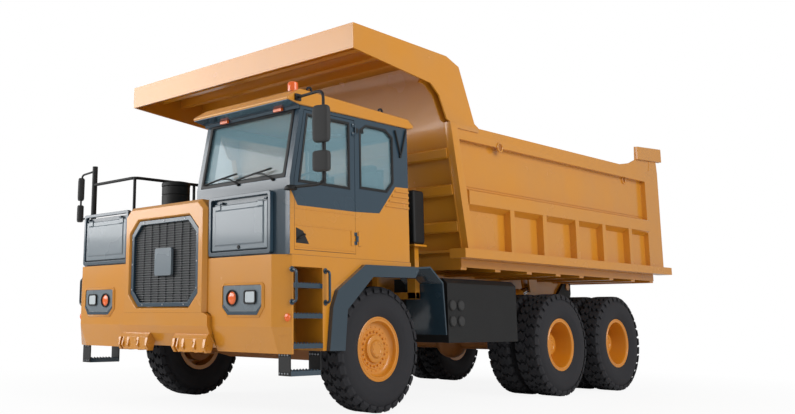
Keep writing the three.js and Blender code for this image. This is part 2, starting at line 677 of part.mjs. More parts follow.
/** A corner of the nose: front panel, bevelled corner, body side over the arch and ladder recess. */
function frontCorner() {
  const skin = slab('z', NOSE_BOTTOM - 25, CAB_BOTTOM - FIT, [
    [cornerInside, NOSE_FACE], [CORNER_X, NOSE_FACE], [BODY_HALF, CORNER_Y], [BODY_HALF, LADDER_REAR],
    [BODY_HALF - SHEET, LADDER_REAR], [BODY_HALF - SHEET, CORNER_Y + 9], [CORNER_X - 8, panelBack],
    [cornerInside, panelBack],
  ]);
  const innerReturn = slab('y', NOSE_FACE, panelBack, [
    [HOOD_HALF + FIT, HOOD_BOTTOM + 10], [cornerInside + 1, BUMPER.knee + 9],
    [cornerInside + 1, CAB_BOTTOM - FIT],
    [HOOD_HALF + FIT, CAB_BOTTOM - FIT],
  ]);
  const archEdge = band(ARCH_LINE, FIT).slice(ARCH_LINE.length).reverse();
  const side = slab('x', BODY_HALF - SHEET, BODY_HALF, [
    [LADDER_REAR - ARCH_LAP, NOSE_BOTTOM], ...archEdge, [BODY_REAR, ARCH_TAIL + FIT],
    [BODY_REAR, CAB_BOTTOM - FIT], [LADDER_REAR - ARCH_LAP, CAB_BOTTOM - FIT],
  ]);
  const wall = RECESS_WALL;
  const deep = BODY_HALF - LADDER_DEPTH;
  const recess = box(
    deep - wall, BODY_HALF - 1, LADDER_FRONT - wall, LADDER_REAR + wall, NOSE_BOTTOM, LADDER_TOP + wall,
  );
  const hollow = box(deep, BODY_HALF + 10, LADDER_FRONT, LADDER_REAR, NOSE_BOTTOM - 60, LADDER_TOP);
  const treads = TREADS.map((z) => (
    box(deep + 30, BODY_HALF - 4, LADDER_FRONT - 2, LADDER_REAR + 2, z - TREAD_HALF, z + TREAD_HALF)));
  return join(cut(join(skin, innerReturn, side, recess), hollow), treads);
}

const STEP = { inner: 196, outer: 36, lap: 70, depth: 45 };

/** The hanging step under the ladder: two belts, each below a wall of its recess, and a tread. */
function hangingStep() {
  const inner = BODY_HALF - STEP.inner;
  const outer = BODY_HALF - STEP.outer;
  const belts = [LADDER_FRONT - RECESS_WALL, LADDER_REAR].map((y) => (
    box(inner, outer, y, y + RECESS_WALL, STEP_LOW, NOSE_BOTTOM + STEP.lap)));
  const foot = box(inner, outer, LADDER_FRONT - 1, LADDER_REAR + 1, STEP_LOW, STEP_LOW + STEP.depth);
  return { belts, foot };
}

const HOOD_CUT = { across: 105, down: 100 }; // its two upper corners

/** The hood surround, an eight-sided frame about the grille. */
function hoodSurround() {
  const outside = [
    [-HOOD_HALF, HOOD_BOTTOM], [HOOD_HALF, HOOD_BOTTOM], [HOOD_HALF, HOOD_TOP - HOOD_CUT.down],
    [HOOD_HALF - HOOD_CUT.across, HOOD_TOP], [HOOD_CUT.across - HOOD_HALF, HOOD_TOP],
    [-HOOD_HALF, HOOD_TOP - HOOD_CUT.down],
  ];
  const ring = slab('y', HOOD_FACE, hoodBack, outside);
  return cut(ring, slab('y', HOOD_FACE - 10, hoodBack + 10, grilleOutline(0)));
}

/** The grille opening, drawn in by a clearance. */
function grilleOutline(clearance) {
  const c = GRILLE_CHAMFER;
  return inset([
    [-GRILLE_HALF + c, GRILLE_BOTTOM], [GRILLE_HALF - c, GRILLE_BOTTOM], [GRILLE_HALF, GRILLE_BOTTOM + c],
    [GRILLE_HALF, GRILLE_TOP - c], [GRILLE_HALF - c, GRILLE_TOP], [-GRILLE_HALF + c, GRILLE_TOP],
    [-GRILLE_HALF, GRILLE_TOP - c], [-GRILLE_HALF, GRILLE_BOTTOM + c],
  ], clearance);
}

const HATCH = { inner: 800, outer: 1665, low: 1705, high: 2190 };
const hatchBack = NOSE_FACE + HATCH_THICKNESS;
const HATCH_HINGE = { from: [60, -120], length: 60, stub: 40, gap: 0.5, radius: 12, rise: 24 };
const hatchAxis = { y: hatchBack - HATCH_HINGE.radius, z: HATCH.high + HATCH_HINGE.rise };
const hatchKnuckles = [HATCH.inner + HATCH_HINGE.from[0], HATCH.outer + HATCH_HINGE.from[1]];

/** A nose hatch: a stiff flat lid with a knuckle at each end of its top edge. */
function hatch() {
  const lid = box(HATCH.inner, HATCH.outer, NOSE_FACE, hatchBack, HATCH.low, HATCH.high);
  const { y, z } = hatchAxis;
  const { length, radius } = HATCH_HINGE;
  const knuckles = hatchKnuckles.flatMap((x) => [
    bar([x, y, z], [x + length, y, z], radius, 10),
    box(x, x + length, NOSE_FACE, hatchBack - 6, HATCH.high - 4, z),
  ]);
  return join(lid, knuckles);
}

/** The knuckles that a hatch hangs from, standing off the face behind it. */
function hatchBearings(face) {
  const { y, z } = hatchAxis;
  const { length, stub, gap, radius } = HATCH_HINGE;
  return hatchKnuckles.map((x) => join(
    bar([x + length + gap, y, z], [x + length + stub, y, z], radius, 10),
    box(x + length + gap, x + length + stub, y, face + 2, z - radius, z + radius),
  ));
}

add('front_bumper', frontBumper(), yellow);
const corner = frontCorner();
const step = hangingStep();
addPair('front_corner', join(corner, step.belts, step.foot), yellow);
add('hood_surround', hoodSurround(), yellow);
add('grille', slab('y', NOSE_FACE - 10, NOSE_FACE + 20, grilleOutline(FIT)), black);
addPair('nose_hatch', hatch(), blueGrey);

// ---------------------------------------------------------------- wheel arches
const LIP_WIDTH = 60;
const LIP_INSIDE = [[438, 1560], [365, 1468], [-367, 1455], [-783, 1106], [-829, NOSE_BOTTOM]];
const MUD_PLATE = [[1000, 836], [955, 1436], [712, 1612], [430, ARCH_TAIL], [340, ARCH_TAIL]];

/** The bevelled arch lip, the liner inside it and the mud plate behind the wheel, in one piece. */
function fender() {
  const lip = slab('x', BODY_HALF - LIP_WIDTH, ARCH_OUTSIDE, [...ARCH_LINE, ...LIP_INSIDE]);
  const liner = slab('x', ARCH_INSIDE, BODY_HALF - LIP_WIDTH + 20, band([...ARCH_LINE].reverse(), SHEET));
  const mudPlate = slab('x', ARCH_INSIDE, BODY_HALF, band(MUD_PLATE, SHEET));
  return join(lip, liner, mudPlate);
}

addPair('fender', fender(), blueGrey);

// ---------------------------------------------------------------- deck
const noseStep = NOSE_FACE + 40; // face behind the hatches
const HATCH_LAP = 25; // hatch past the edge of its opening
const HATCH_JAMB = 12; // hood side to the cab base or deck
const hatchHole = [
  HATCH.inner + HATCH_LAP, HATCH.outer - HATCH_LAP, HATCH.low + HATCH_LAP, HATCH.high - HATCH_LAP,
];

/** The front outline of the cab base or the deck box in plan, with its outer corner cut off. */
const basePlan = (inner, rear) => [
  [inner, noseStep], [CORNER_X - 20, noseStep], [BODY_HALF, CORNER_Y], [BODY_HALF, rear], [inner, rear],
];

/** The right-hand deck: a hollow locker behind the hatch and a plate over the engine up to the cab. */
function deck() {
  const inner = HOOD_HALF + HATCH_JAMB;
  const locker = slab('z', CAB_BOTTOM, DECK_TOP, basePlan(inner, BODY_REAR));
  const space = box(
    inner + SHEET, BODY_HALF - SHEET, CORNER_Y + SHEET, BODY_REAR - SHEET, CAB_BOTTOM + SHEET, DECK_TOP - SHEET,
  );
  const mouth = box(hatchHole[0], hatchHole[1], noseStep - 10, CORNER_Y + 30, hatchHole[2], hatchHole[3]);
  const leftHand = join(cut(locker, space, mouth), hatchBearings(noseStep));
  const plate = box(-inner - 5, CAB_RIGHT - FIT, hoodBack + FIT, BODY_REAR, DECK_TOP - SHEET, DECK_TOP);
  return join(mirrored(leftHand), plate);
}

const RAIL_TUBE = 19;
const HANDRAIL = { high: 2712, outer: -1790, bend: -900, inboard: -800, front: -1500, post: -600, rear: 290 };

/** The tubular handrail: across the front of the right-hand deck and back beside the engine, on three posts. */
function handrail() {
  const { high, outer, bend, inboard, front, post, rear } = HANDRAIL;
  const foot = DECK_TOP + FIT;
  const postX = bend + (inboard - bend) * (post - front) / (rear - front);
  const rail = pipe([
    [outer, front, high], [bend, front, high], [inboard, rear, high], [inboard, rear, foot],
  ], RAIL_TUBE);
  const posts = [[bend, front], [postX, post]].map(([x, y]) => bar([x, y, foot], [x, y, high], RAIL_TUBE, 8));
  return join(rail, posts);
}

const CLEANER = {
  x: -290, y: -1330, drum: 190, drumTop: 2530, neck: 150, neckTop: 2560, cap: 205, capTop: 2610,
};

/** The air cleaner: a drum with a rain cap. */
function airCleaner() {
  const { x, y, drumTop, neckTop, capTop } = CLEANER;
  const drum = bar([x, y, DECK_TOP + FIT], [x, y, drumTop], CLEANER.drum, 20);
  const neck = bar([x, y, drumTop - 1], [x, y, neckTop], CLEANER.neck, 20);
  const cap = bar([x, y, neckTop - 1], [x, y, capTop], CLEANER.cap, 20);
  return join(drum, neck, cap);
}

add('deck', deck(), yellow);
add('deck_handrail', handrail(), black);
add('air_cleaner', airCleaner(), black);

// ---------------------------------------------------------------- cab
const CAB_SIDE = [
  [CAB_FRONT, CAB_BOTTOM], [CAB_REAR, CAB_BOTTOM], [CAB_REAR, CAB_TOP], [PILLAR_TOP_Y, CAB_TOP],
  [CAB_FRONT, WAIST],
];
const SILL_Z = CAB_BOTTOM + 50;
const HEADER_Z = CAB_TOP - 42;
const DOOR_FRONT = -1520;
const DOOR = [
  [DOOR_FRONT, SILL_Z], [DOOR_HINGE_Y - RUN, SILL_Z], [DOOR_HINGE_Y - RUN, HEADER_Z], [-1372, HEADER_Z],
  [DOOR_FRONT, WAIST],
];
const HANDLE = { front: -1490, rear: -1330, low: 1760, high: 1905, depth: 14 };
const DOOR_WINDOW = [[-1448, 2385], [-690, 2385], [-690, 3090], [-1330, 3090]];
const REAR_SIDE_WINDOW = [
  [-500, 2410], [-60, 2410], [50, 2520], [50, 3030], [-70, 3105], [-400, 3105], [-500, 3040],
];
const RIGHT_WINDOW = [[-1390, 2410], [180, 2410], [180, 3090], [-1270, 3090]];
const REAR_WINDOW = [[600, 2450], [1700, 2450], [1700, 3080], [600, 3080]];
const SCREEN = { right: 512, left: 1794, low: WAIST + 36, high: CAB_TOP - 45 };

/** The outside of the sloping windscreen wall, at a height. */
const screenY = (z) => CAB_FRONT + (z - WAIST) * (PILLAR_TOP_Y - CAB_FRONT) / (CAB_TOP - WAIST);

/** A band of the sloping windscreen wall between two depths and two heights, as (y, z). */
const screenBand = (near, far, low, high) => [
  [screenY(low) + near, low], [screenY(low) + far, low], [screenY(high) + far, high],
  [screenY(high) + near, high],
];

const PAST = 60; // a cutter past the wall that it goes through

/** The cab shell: hollow, with its door and window openings cut and the nose box in front of it. */
function cabBody() {
  const outside = slab('x', CAB_RIGHT, BODY_HALF, CAB_SIDE);
  const noseBox = slab('z', CAB_BOTTOM, HOOD_TOP, basePlan(HOOD_HALF + HATCH_JAMB, CAB_FRONT + CAB_WALL - 1));
  const inside = slab('x', CAB_RIGHT + CAB_WALL, BODY_HALF - CAB_WALL, inset(CAB_SIDE, CAB_WALL));
  const top = box(
    CAB_RIGHT + CAB_WALL, BODY_HALF - CAB_WALL, PILLAR_TOP_Y + PAST, CAB_REAR - CAB_WALL,
    CAB_TOP - PAST, CAB_TOP + 10,
  );
  const pocket = box(hatchHole[0], hatchHole[1], noseStep - 10, CAB_FRONT + 5, hatchHole[2], hatchHole[3]);
  const through = screenBand(-PAST, CAB_WALL + PAST, SCREEN.low, SCREEN.high);
  const screen = slab('x', SCREEN.right, SCREEN.left, through);
  const doorway = slab('x', BODY_HALF - CAB_WALL - 20, BODY_HALF + 20, inset(DOOR, -RUN));
  const openings = [
    slab('x', BODY_HALF - CAB_WALL - PAST, BODY_HALF + PAST, REAR_SIDE_WINDOW),
    slab('x', CAB_RIGHT - PAST, CAB_RIGHT + CAB_WALL + PAST, RIGHT_WINDOW),
    slab('y', CAB_REAR - CAB_WALL - PAST, CAB_REAR + PAST, REAR_WINDOW),
  ];
  const shell = cut(join(outside, noseBox), inside, top, pocket, screen, doorway, openings);
  return join(shell, hatchBearings(noseStep), doorHinges(-1));
}

const hingeX = BODY_HALF + HINGE_RADIUS + 1;
const DOOR_KNUCKLE = { at: [1850, 3030], half: 30, gap: 0.5, length: 36, leaf: 45, leafGap: 2 };

/** The door's hinge knuckles: the cab's own at the middle (-1), or the door's two at the ends (1). */
function doorHinges(part) {
  const half = DOOR_KNUCKLE.half;
  const inner = half + DOOR_KNUCKLE.gap;
  const outer = half + DOOR_KNUCKLE.length;
  const spans = part < 0 ? [[-half, half]] : [[-outer, -inner], [inner, outer]];
  const leafFrom = part < 0 ? DOOR_HINGE_Y : DOOR_HINGE_Y - DOOR_KNUCKLE.leaf;
  const leafTo = part < 0 ? DOOR_HINGE_Y + DOOR_KNUCKLE.leaf : DOOR_HINGE_Y - DOOR_KNUCKLE.leafGap;
  return DOOR_KNUCKLE.at.flatMap((z) => spans.map(([low, high]) => join(
    bar([hingeX, DOOR_HINGE_Y, z + low], [hingeX, DOOR_HINGE_Y, z + high], HINGE_RADIUS, 10),
    box(BODY_HALF - 1, hingeX, leafFrom, leafTo, z + low, z + high),
  )));
}

/** The door with its window opening, its hinge knuckles and a recessed handle plate. */
function cabDoor() {
  const panel = slab('x', BODY_HALF - CAB_WALL, BODY_HALF, DOOR);
  const opening = slab('x', BODY_HALF - CAB_WALL - 10, BODY_HALF + 10, DOOR_WINDOW);
  const handle = box(
    BODY_HALF - HANDLE.depth, BODY_HALF + 1, HANDLE.front, HANDLE.rear, HANDLE.low, HANDLE.high,
  );
  return join(cut(panel, opening, handle), doorHinges(1));
}

/** A pane in an opening of a wall that faces along an axis. */
function pane(axis, wallMiddle, outline) {
  return slab(axis, wallMiddle - GLASS / 2, wallMiddle + GLASS / 2, inset(outline, FIT));
}

const ROOF = { side: 25, front: -1640, rear: 430 };

/** The roof with its sun visor over the windscreen. */
function cabRoof() {
  const low = CAB_TOP + FIT;
  const { side, front, rear } = ROOF;
  return slab('x', CAB_RIGHT - side, BODY_HALF + side, [
    [front, CAB_TOP + 28], [PILLAR_TOP_Y - 40, low], [CAB_REAR, low], [rear, low + 18], [rear, CAB_TOP + 45],
    [rear - 100, CAB_TOP + 111], [0, CAB_TOP + 123], [front + 190, CAB_TOP + 168], [front, CAB_TOP + 55],
  ]);
}

const SEAT = {
  at: [720, 1480], half: 240, front: -560, rear: 20, low: 1900, high: 2120, backHalf: 230, backTop: 2760,
};
const PLINTH = { right: 560, left: 1740, front: -420, rear: 60 };

/** The driver's seat and the mate's seat on one plinth. */
function cabSeats() {
  const floor = CAB_BOTTOM + CAB_WALL + FIT;
  const plinth = box(PLINTH.right, PLINTH.left, PLINTH.front, PLINTH.rear, floor, SEAT.low);
  const { half, backHalf, high, backTop } = SEAT;
  const seats = SEAT.at.flatMap((x) => [
    box(x - half, x + half, SEAT.front, SEAT.rear, SEAT.low - 1, high),
    slab('x', x - backHalf, x + backHalf, [
      [SEAT.rear - 80, high - 1], [SEAT.rear + 50, high - 1], [SEAT.rear + 180, backTop],
      [SEAT.rear + 70, backTop],
    ]),
  ]);
  return join(plinth, seats);
}

const WHEEL_AT = { x: 1480, y: -1010, z: 2420 };
const WHEEL = { radius: 215, rim: 16, spoke: 14, hub: 55, lean: 47 };
const COLUMN = { y: -1300, z: 2150, radius: 35 };
const DESK = {
  side: 30, wheelSide: 60, low: 2050, lip: 2330, brow: 2400, back: 2380, knee: -1300, edge: -1240,
};

/** The dashboard with the steering column and wheel. */
function dashboard() {
  const wall = CAB_FRONT + CAB_WALL + FIT;
  const desk = slab('x', CAB_RIGHT + CAB_WALL + DESK.side, BODY_HALF - CAB_WALL - DESK.wheelSide, [
    [wall, DESK.low], [DESK.knee, DESK.low], [DESK.edge, DESK.lip], [DESK.knee - 100, DESK.brow],
    [wall, DESK.back],
  ]);
  const { x, y, z } = WHEEL_AT;
  const column = bar([x, COLUMN.y, COLUMN.z], [x, y, z], COLUMN.radius, 10);
  const ring = new THREE.TorusGeometry(WHEEL.radius, WHEEL.rim, 6, 18);
  const spoke = bar([-WHEEL.radius, 0, 0], [WHEEL.radius, 0, 0], WHEEL.spoke, 6);
  const wheel = join(ring, spoke, bar([0, 0, -30], [0, 0, 12], WHEEL.hub, 10));
  wheel.rotateX(THREE.MathUtils.degToRad(WHEEL.lean));
  wheel.translate(x, y, z);
  return join(desk, column, wheel);
}

/** A mirror head on its tube. */
const mirrorHead = (x0, x1, y, low, high) => box(x0, x1, y - 40, y + 35, low, high);

const LEFT_MIRRORS = {
  x: 2310, y: -1560, high: 3240, low: 2300, tube: 16, rootY: -1500, footY: -1600,
  heads: [[2710, 3080], [2420, 2625]], headIn: 95, headOut: 90,
};

/** The left mirrors: two heads on a bowed tube from the roof corner to the pillar foot. */
function leftMirrors() {
  const { x, y, high, low, rootY, footY } = LEFT_MIRRORS;
  const side = BODY_HALF + ROOF.side;
  const tube = pipe([
    [side + 13, rootY, high], [x, y, high], [x, y, low], [BODY_HALF + 30, footY, low],
  ], LEFT_MIRRORS.tube);
  const pad = box(side + FIT, side + 20, rootY - 40, rootY + 40, high - 35, high + 35);
  const heads = LEFT_MIRRORS.heads.map(([bottom, top]) => (
    mirrorHead(x - LEFT_MIRRORS.headIn, x + LEFT_MIRRORS.headOut, y, bottom, top)));
  return join(tube, pad, heads);
}

const RIGHT_MIRRORS = {
  x: -2275, y: -1400, high: 2900, low: 2300, tube: 14, postX: -1830, postY: -1480, postTop: 2960, post: 35,
  heads: [[2560, 2860], [2270, 2490]], headOut: 125, headIn: 95,
};

/** The right mirrors on a post that stands on the deck's front corner. */
function rightMirrors() {
  const { x, y, high, low, postX, postY } = RIGHT_MIRRORS;
  const foot = [postX, postY, DECK_TOP + FIT];
  const post = bar(foot, [postX, postY, RIGHT_MIRRORS.postTop], RIGHT_MIRRORS.post, 12);
  const arm = pipe([[postX, postY, high], [x, y, high], [x, y, low], [postX, postY, low]], RIGHT_MIRRORS.tube);
  const heads = RIGHT_MIRRORS.heads.map(([bottom, top]) => (
    mirrorHead(x - RIGHT_MIRRORS.headOut, x + RIGHT_MIRRORS.headIn, y, bottom, top)));
  return join(post, arm, heads);
}

add('cab_body', cabBody(), blueGrey);
add('cab_door', cabDoor(), yellow);
add('cab_roof', cabRoof(), yellow);
const screenDepth = CAB_WALL / 2;
add('windscreen', slab('x', SCREEN.right + FIT, SCREEN.left - FIT,
  screenBand(screenDepth, screenDepth + GLASS, SCREEN.low + FIT, SCREEN.high - FIT)), glass);
add('door_glass', pane('x', BODY_HALF - CAB_WALL / 2, DOOR_WINDOW), glass);
add('side_glass_left', pane('x', BODY_HALF - CAB_WALL / 2, REAR_SIDE_WINDOW), glass);
add('side_glass_right', pane('x', CAB_RIGHT + CAB_WALL / 2, RIGHT_WINDOW), glass);
add('rear_glass', pane('y', CAB_REAR - CAB_WALL / 2, REAR_WINDOW), glass);
add('cab_seats', cabSeats(), fabric);
add('dashboard', dashboard(), black);
add('mirrors_left', leftMirrors(), black);
add('mirrors_right', rightMirrors(), black);

// ---------------------------------------------------------------- side tanks
const TANK = { inside: 1000, outside: 1800, front: 1150, rear: 2650, bottom: 740, top: 1500, bevel: 60 };
const TANK_ARM = { front: 200, rear: 300, width: 100, low: 980, high: 1120 };

/** A side tank with bevelled upper edges, on two arms from the frame rail. */
function sideTank() {
  const body = slab('y', TANK.front, TANK.rear, [
    [TANK.inside, TANK.bottom], [TANK.outside, TANK.bottom], [TANK.outside, TANK.top - TANK.bevel],
    [TANK.outside - TANK.bevel, TANK.top], [TANK.inside, TANK.top],
  ]);
  const { width, low, high } = TANK_ARM;
  const arms = [TANK.front + TANK_ARM.front, TANK.rear - TANK_ARM.rear].map((y) => (
    box(RAIL_OUTSIDE + FIT, TANK.inside + 1, y, y + width, low, high)));
  return join(body, arms);
}

addPair('side_tank', sideTank(), black);

// ---------------------------------------------------------------- dump bed
const WALL_FOOT = 1343; // front post, front edge at the floor
const WALL_HEAD = 1047; // and at the rail
const POST_WIDTH = 143;
const RIB_WIDTH = 96;
const RIB_PROUD = 25; // rib outside the rails
const REAR_POST_FRONT = 6254;
const TOP_RAIL_DEPTH = 185;
const RIBS = [2320, 3110, 3980, 4760, 5590];
const MID_RAIL = [2380, 2560];
const CHEEK_REAR = 1642; // canopy cheek, rear end on the rail
const BROW = 1003; // where the shoulder runs out into the canopy's top

/** A point behind the front axle, by how far it lies below the canopy's top. */
const under = (y, drop) => [y, CANOPY_TOP - drop];
const SHOULDER = [[1555, BED_RAIL + 43], under(1257, 109), under(BROW, 20)];
const UNDERLINE = [under(548, 407), under(664, 418), under(825, 531), [980, BED_RAIL + 21]];

/** The side outline of the bed without its canopy, as (y, z). */
const BED_SIDE = [
  [WALL_FOOT, LEDGE_BOTTOM + 20], [BED_REAR, LEDGE_BOTTOM + 20], [BED_REAR, BED_RAIL],
  [CHEEK_REAR, BED_RAIL], ...SHOULDER,
  ...UNDERLINE, [WALL_HEAD, BED_RAIL],
];

/** The side outline of the canopy's cheek plate, as (y, z). */
const CHEEK = [
  [CANOPY_FRONT, CANOPY_TOP - CANOPY_LIP], ...UNDERLINE, [WALL_HEAD, BED_RAIL],
  [CHEEK_REAR, BED_RAIL], ...SHOULDER,
  [CANOPY_FRONT, CANOPY_TOP],
];

/** Widens whatever lies ahead of the front wall, up to the canopy's full flare at its lip. */
function flared(geometry) {
  const position = geometry.attributes.position;
  for (let i = 0; i < position.count; i += 1) {
    const reach = Math.max(0, (BROW - position.getY(i)) / (BROW - CANOPY_FRONT));
    position.setX(i, position.getX(i) * (1 + reach * CANOPY_FLARE / CANOPY_SIDE));
  }
  return geometry;
}

/** The sheet that runs from the floor up the front wall and forward over the cab, as (y, z). */
const FRONT_SHEET = [
  [WALL_FOOT + 90, BED_FLOOR - 10], [WALL_HEAD + 75, BED_RAIL], under(1075, 288), under(985, 58),
  under(CANOPY_FRONT + 8, 38),
];

const CANOPY_BEAMS = { at: [-350, 50, 450], width: 90, low: CANOPY_TOP - 158, high: CANOPY_TOP - 48 };
const CLOSING_DEPTH = 60; // filler between the wall and the cheek, below the rail

/** The canopy: cheeks, sheet, lip and the cross-beams under it. */
function canopy() {
  const cheek = slab('x', CANOPY_SIDE - SHEET, CANOPY_SIDE, CHEEK);
  const sheet = slab('x', -CANOPY_SIDE + 1, CANOPY_SIDE - 1, band([...FRONT_SHEET].reverse(), SHEET));
  const lipRear = CANOPY_FRONT + SHEET;
  const lip = box(-CANOPY_SIDE, CANOPY_SIDE, CANOPY_FRONT, lipRear, CANOPY_TOP - CANOPY_LIP, CANOPY_TOP);
  const { at, width, low, high } = CANOPY_BEAMS;
  const beams = at.map((y) => box(-CANOPY_SIDE + 2, CANOPY_SIDE - 2, y, y + width, low, high));
  const closing = slab('x', BED_HALF, CANOPY_SIDE - 1, [
    [WALL_HEAD, BED_RAIL], [CHEEK_REAR, BED_RAIL], [CHEEK_REAR, BED_RAIL - CLOSING_DEPTH],
    [WALL_HEAD + 12, BED_RAIL - CLOSING_DEPTH],
  ]);
  return flared(join(bothSides(cheek), sheet, lip, beams, bothSides(closing)));
}

/** One side wall with its posts, rails, ribs and ledge. */
function bedSide() {
  const plate = slab('x', BED_HALF, BED_HALF + WALL, BED_SIDE);
  const post = slab('x', BED_HALF, CANOPY_SIDE, [
    [WALL_FOOT, LEDGE_BOTTOM + 60], [WALL_FOOT + POST_WIDTH, LEDGE_BOTTOM + 60],
    [WALL_HEAD + POST_WIDTH, BED_RAIL - 40],
    [WALL_HEAD + 8, BED_RAIL - 40],
  ]);
  const rearPost = box(BED_HALF, RAIL_SIDE, REAR_POST_FRONT, BED_REAR, BED_FLOOR - 20, BED_RAIL);
  const topRail = box(BED_HALF, RAIL_SIDE, 1200, BED_REAR, BED_RAIL - TOP_RAIL_DEPTH, BED_RAIL);
  const midRail = box(BED_HALF, RAIL_SIDE, 1250, BED_REAR, ...MID_RAIL);
  const half = RIB_WIDTH / 2;
  const ribs = RIBS.map((y) => (
    box(BED_HALF, RAIL_SIDE + RIB_PROUD, y - half, y + half, BED_FLOOR - 10, MID_RAIL[1] - 20)));
  const ledge = box(BED_HALF - 80, LEDGE_SIDE, 1210, LEDGE_REAR, LEDGE_BOTTOM, BED_FLOOR);
  const lug = slab('x', BED_HALF, RAIL_SIDE, [
    [6420, BED_RAIL - 10], [BED_REAR, BED_RAIL - 10], [BED_REAR - 40, GATE_HINGE_Z + 80],
    [6490, GATE_HINGE_Z + 80],
  ]);
  return join(plate, post, rearPost, topRail, midRail, ribs, ledge, lug);
}

const SILL = { front: 1440, heel: 300, rear: 120 };
const EYE_CHEEK = { half: 14, top: 140, foot: 80, drop: 70 };
const SILL_OUTSIDE = RAIL_OUTSIDE - 2;
const SILL_INSIDE = RAIL_OUTSIDE - RAIL_WIDTH + 2;
const FLOOR_SHEET = 30;
const HOIST_BEAM = { past: 120, half: 150, rise: 110 };
const FLOOR_BEAMS = { at: [1500, 2250, 3000, 3750, 4400, 5300, 6000, 6640], half: 60, reach: 1800, low: 1610 };
const floorUnder = BED_FLOOR - FLOOR_SHEET + 1; // top of what is welded under the floor

/** The floor with its cross-beams, the two sills that rest on the frame and the tipping tube. */
function bedBase() {
  const floor = box(
    -BED_HALF - 1, BED_HALF + 1, WALL_FOOT + 20, LEDGE_REAR - 30, BED_FLOOR - FLOOR_SHEET, BED_FLOOR,
  );
  const { at, half, reach, low: beamLow } = FLOOR_BEAMS;
  const beams = at.map((y) => box(-reach, reach, y - half, y + half, beamLow, floorUnder));
  const sill = slab('x', SILL_INSIDE, SILL_OUTSIDE, [
    [SILL.front, RAIL_TOP + FIT], [RAIL_REAR - SILL.heel, RAIL_TOP + FIT], [TIP_Y - 50, TIP_Z - 80],
    [TIP_Y + SILL.rear, TIP_Z - 60], [TIP_Y + SILL.rear, floorUnder], [SILL.front, floorUnder],
  ]);
  const ears = [-1, 1].map((way) => {
    const { half: thin, top, foot, drop } = EYE_CHEEK;
    const x = HOIST_X + way * (EYE_HALF + RUN + thin);
    return slab('x', x - thin, x + thin, [
      [HOIST_EYE.y - top, beamLow + HOIST_BEAM.past], [HOIST_EYE.y - foot, HOIST_EYE.z - drop],
      [HOIST_EYE.y + foot, HOIST_EYE.z - drop], [HOIST_EYE.y + top, beamLow + HOIST_BEAM.past],
    ]);
  });
  const beamEnd = HOIST_X + HOIST_BEAM.past;
  const { y: eyeY } = HOIST_EYE;
  const hoistBeam = box(
    -beamEnd, beamEnd, eyeY - HOIST_BEAM.half, eyeY + HOIST_BEAM.half, beamLow + HOIST_BEAM.rise, floorUnder,
  );
  return join(floor, beams, bothSides(sill), tipTube(TIP_RADIUS), hoistBeam, ears.flatMap(bothSides));
}

const GATE_PIN = 36;

/** A round bar on the left end of the tailgate's axis. */
const gatePin = (from, to, radius, sides) => (
  bar([from, GATE_HINGE_Y, GATE_HINGE_Z], [to, GATE_HINGE_Y, GATE_HINGE_Z], radius, sides));

/** The whole bed, with bores in its rear lugs for the tailgate's pins. */
function dumpBed() {
  const body = join(bothSides(bedSide()), bedBase(), canopy());
  const bore = gatePin(BED_HALF - 20, BED_HALF + 60, GATE_PIN + 1, 20);
  return cut(body, bothSides(bore));
}

const GATE = { side: 10, front: 6620, back: 6650, rear: 6710, ribPitch: 650, ribHalf: 50 };
const GATE_RAILS = [[BED_FLOOR + 10, BED_FLOOR + 130], [2540, 2660], [BED_RAIL - 150, BED_RAIL - 20]];
const GATE_ARM = { in: 60, out: 10, root: 200, heel: 20, crown: 60, toe: 50 };

/** The tailgate: a ribbed plate that hangs from two arms with pins at the top of the rear posts. */
function tailgate() {
  const half = BED_HALF - GATE.side;
  const { front, back, rear } = GATE;
  const plate = box(-half, half, front, back, BED_FLOOR + 10, BED_RAIL - 20);
  const rails = GATE_RAILS.map(([low, high]) => box(-half, half, back - 1, rear, low, high));
  const ribs = [-2, -1, 0, 1, 2].map((i) => i * GATE.ribPitch).map((x) => (
    box(x - GATE.ribHalf, x + GATE.ribHalf, back - 1, rear - 10, BED_FLOOR + 100, BED_RAIL - 40)));
  const { root, heel, crown, toe } = GATE_ARM;
  const arm = slab('x', BED_HALF - GATE_ARM.in, BED_HALF - GATE_ARM.out, [
    [front, BED_RAIL - root], [rear, BED_RAIL - root], [rear - 10, GATE_HINGE_Z + heel],
    [GATE_HINGE_Y + heel, GATE_HINGE_Z + crown], [GATE_HINGE_Y - toe, GATE_HINGE_Z + toe],
    [GATE_HINGE_Y - toe, GATE_HINGE_Z - toe],
  ]);
  const pin = gatePin(BED_HALF - 40, BED_HALF + 55, GATE_PIN, 16);
  return join(plate, rails, ribs, bothSides(arm), bothSides(pin));
}

add('dump_bed', dumpBed(), yellow);
add('tailgate', tailgate(), yellow);

// ---------------------------------------------------------------- hoist
const hoistAlong = new THREE.Vector3(0, HOIST_EYE.y - HOIST_FOOT.y, HOIST_EYE.z - HOIST_FOOT.z).normalize();

/** A point on the left hoist's centre line, at a distance from its foot. */
const onHoist = (distance) => [
  HOIST_X, HOIST_FOOT.y + hoistAlong.y * distance, HOIST_FOOT.z + hoistAlong.z * distance,
];

/** A round bar across the left hoist at one of its pins. */
const acrossHoist = (at, half, radius, sides) => (
  bar([HOIST_X - half, at.y, at.z], [HOIST_X + half, at.y, at.z], radius, sides));

const BARREL = { foot: 60, boreFrom: 140, boreGap: 0.8, eyeHalf: 55, eye: 80 };
const ROD = { from: 150, shoulder: 160, neck: 170 };

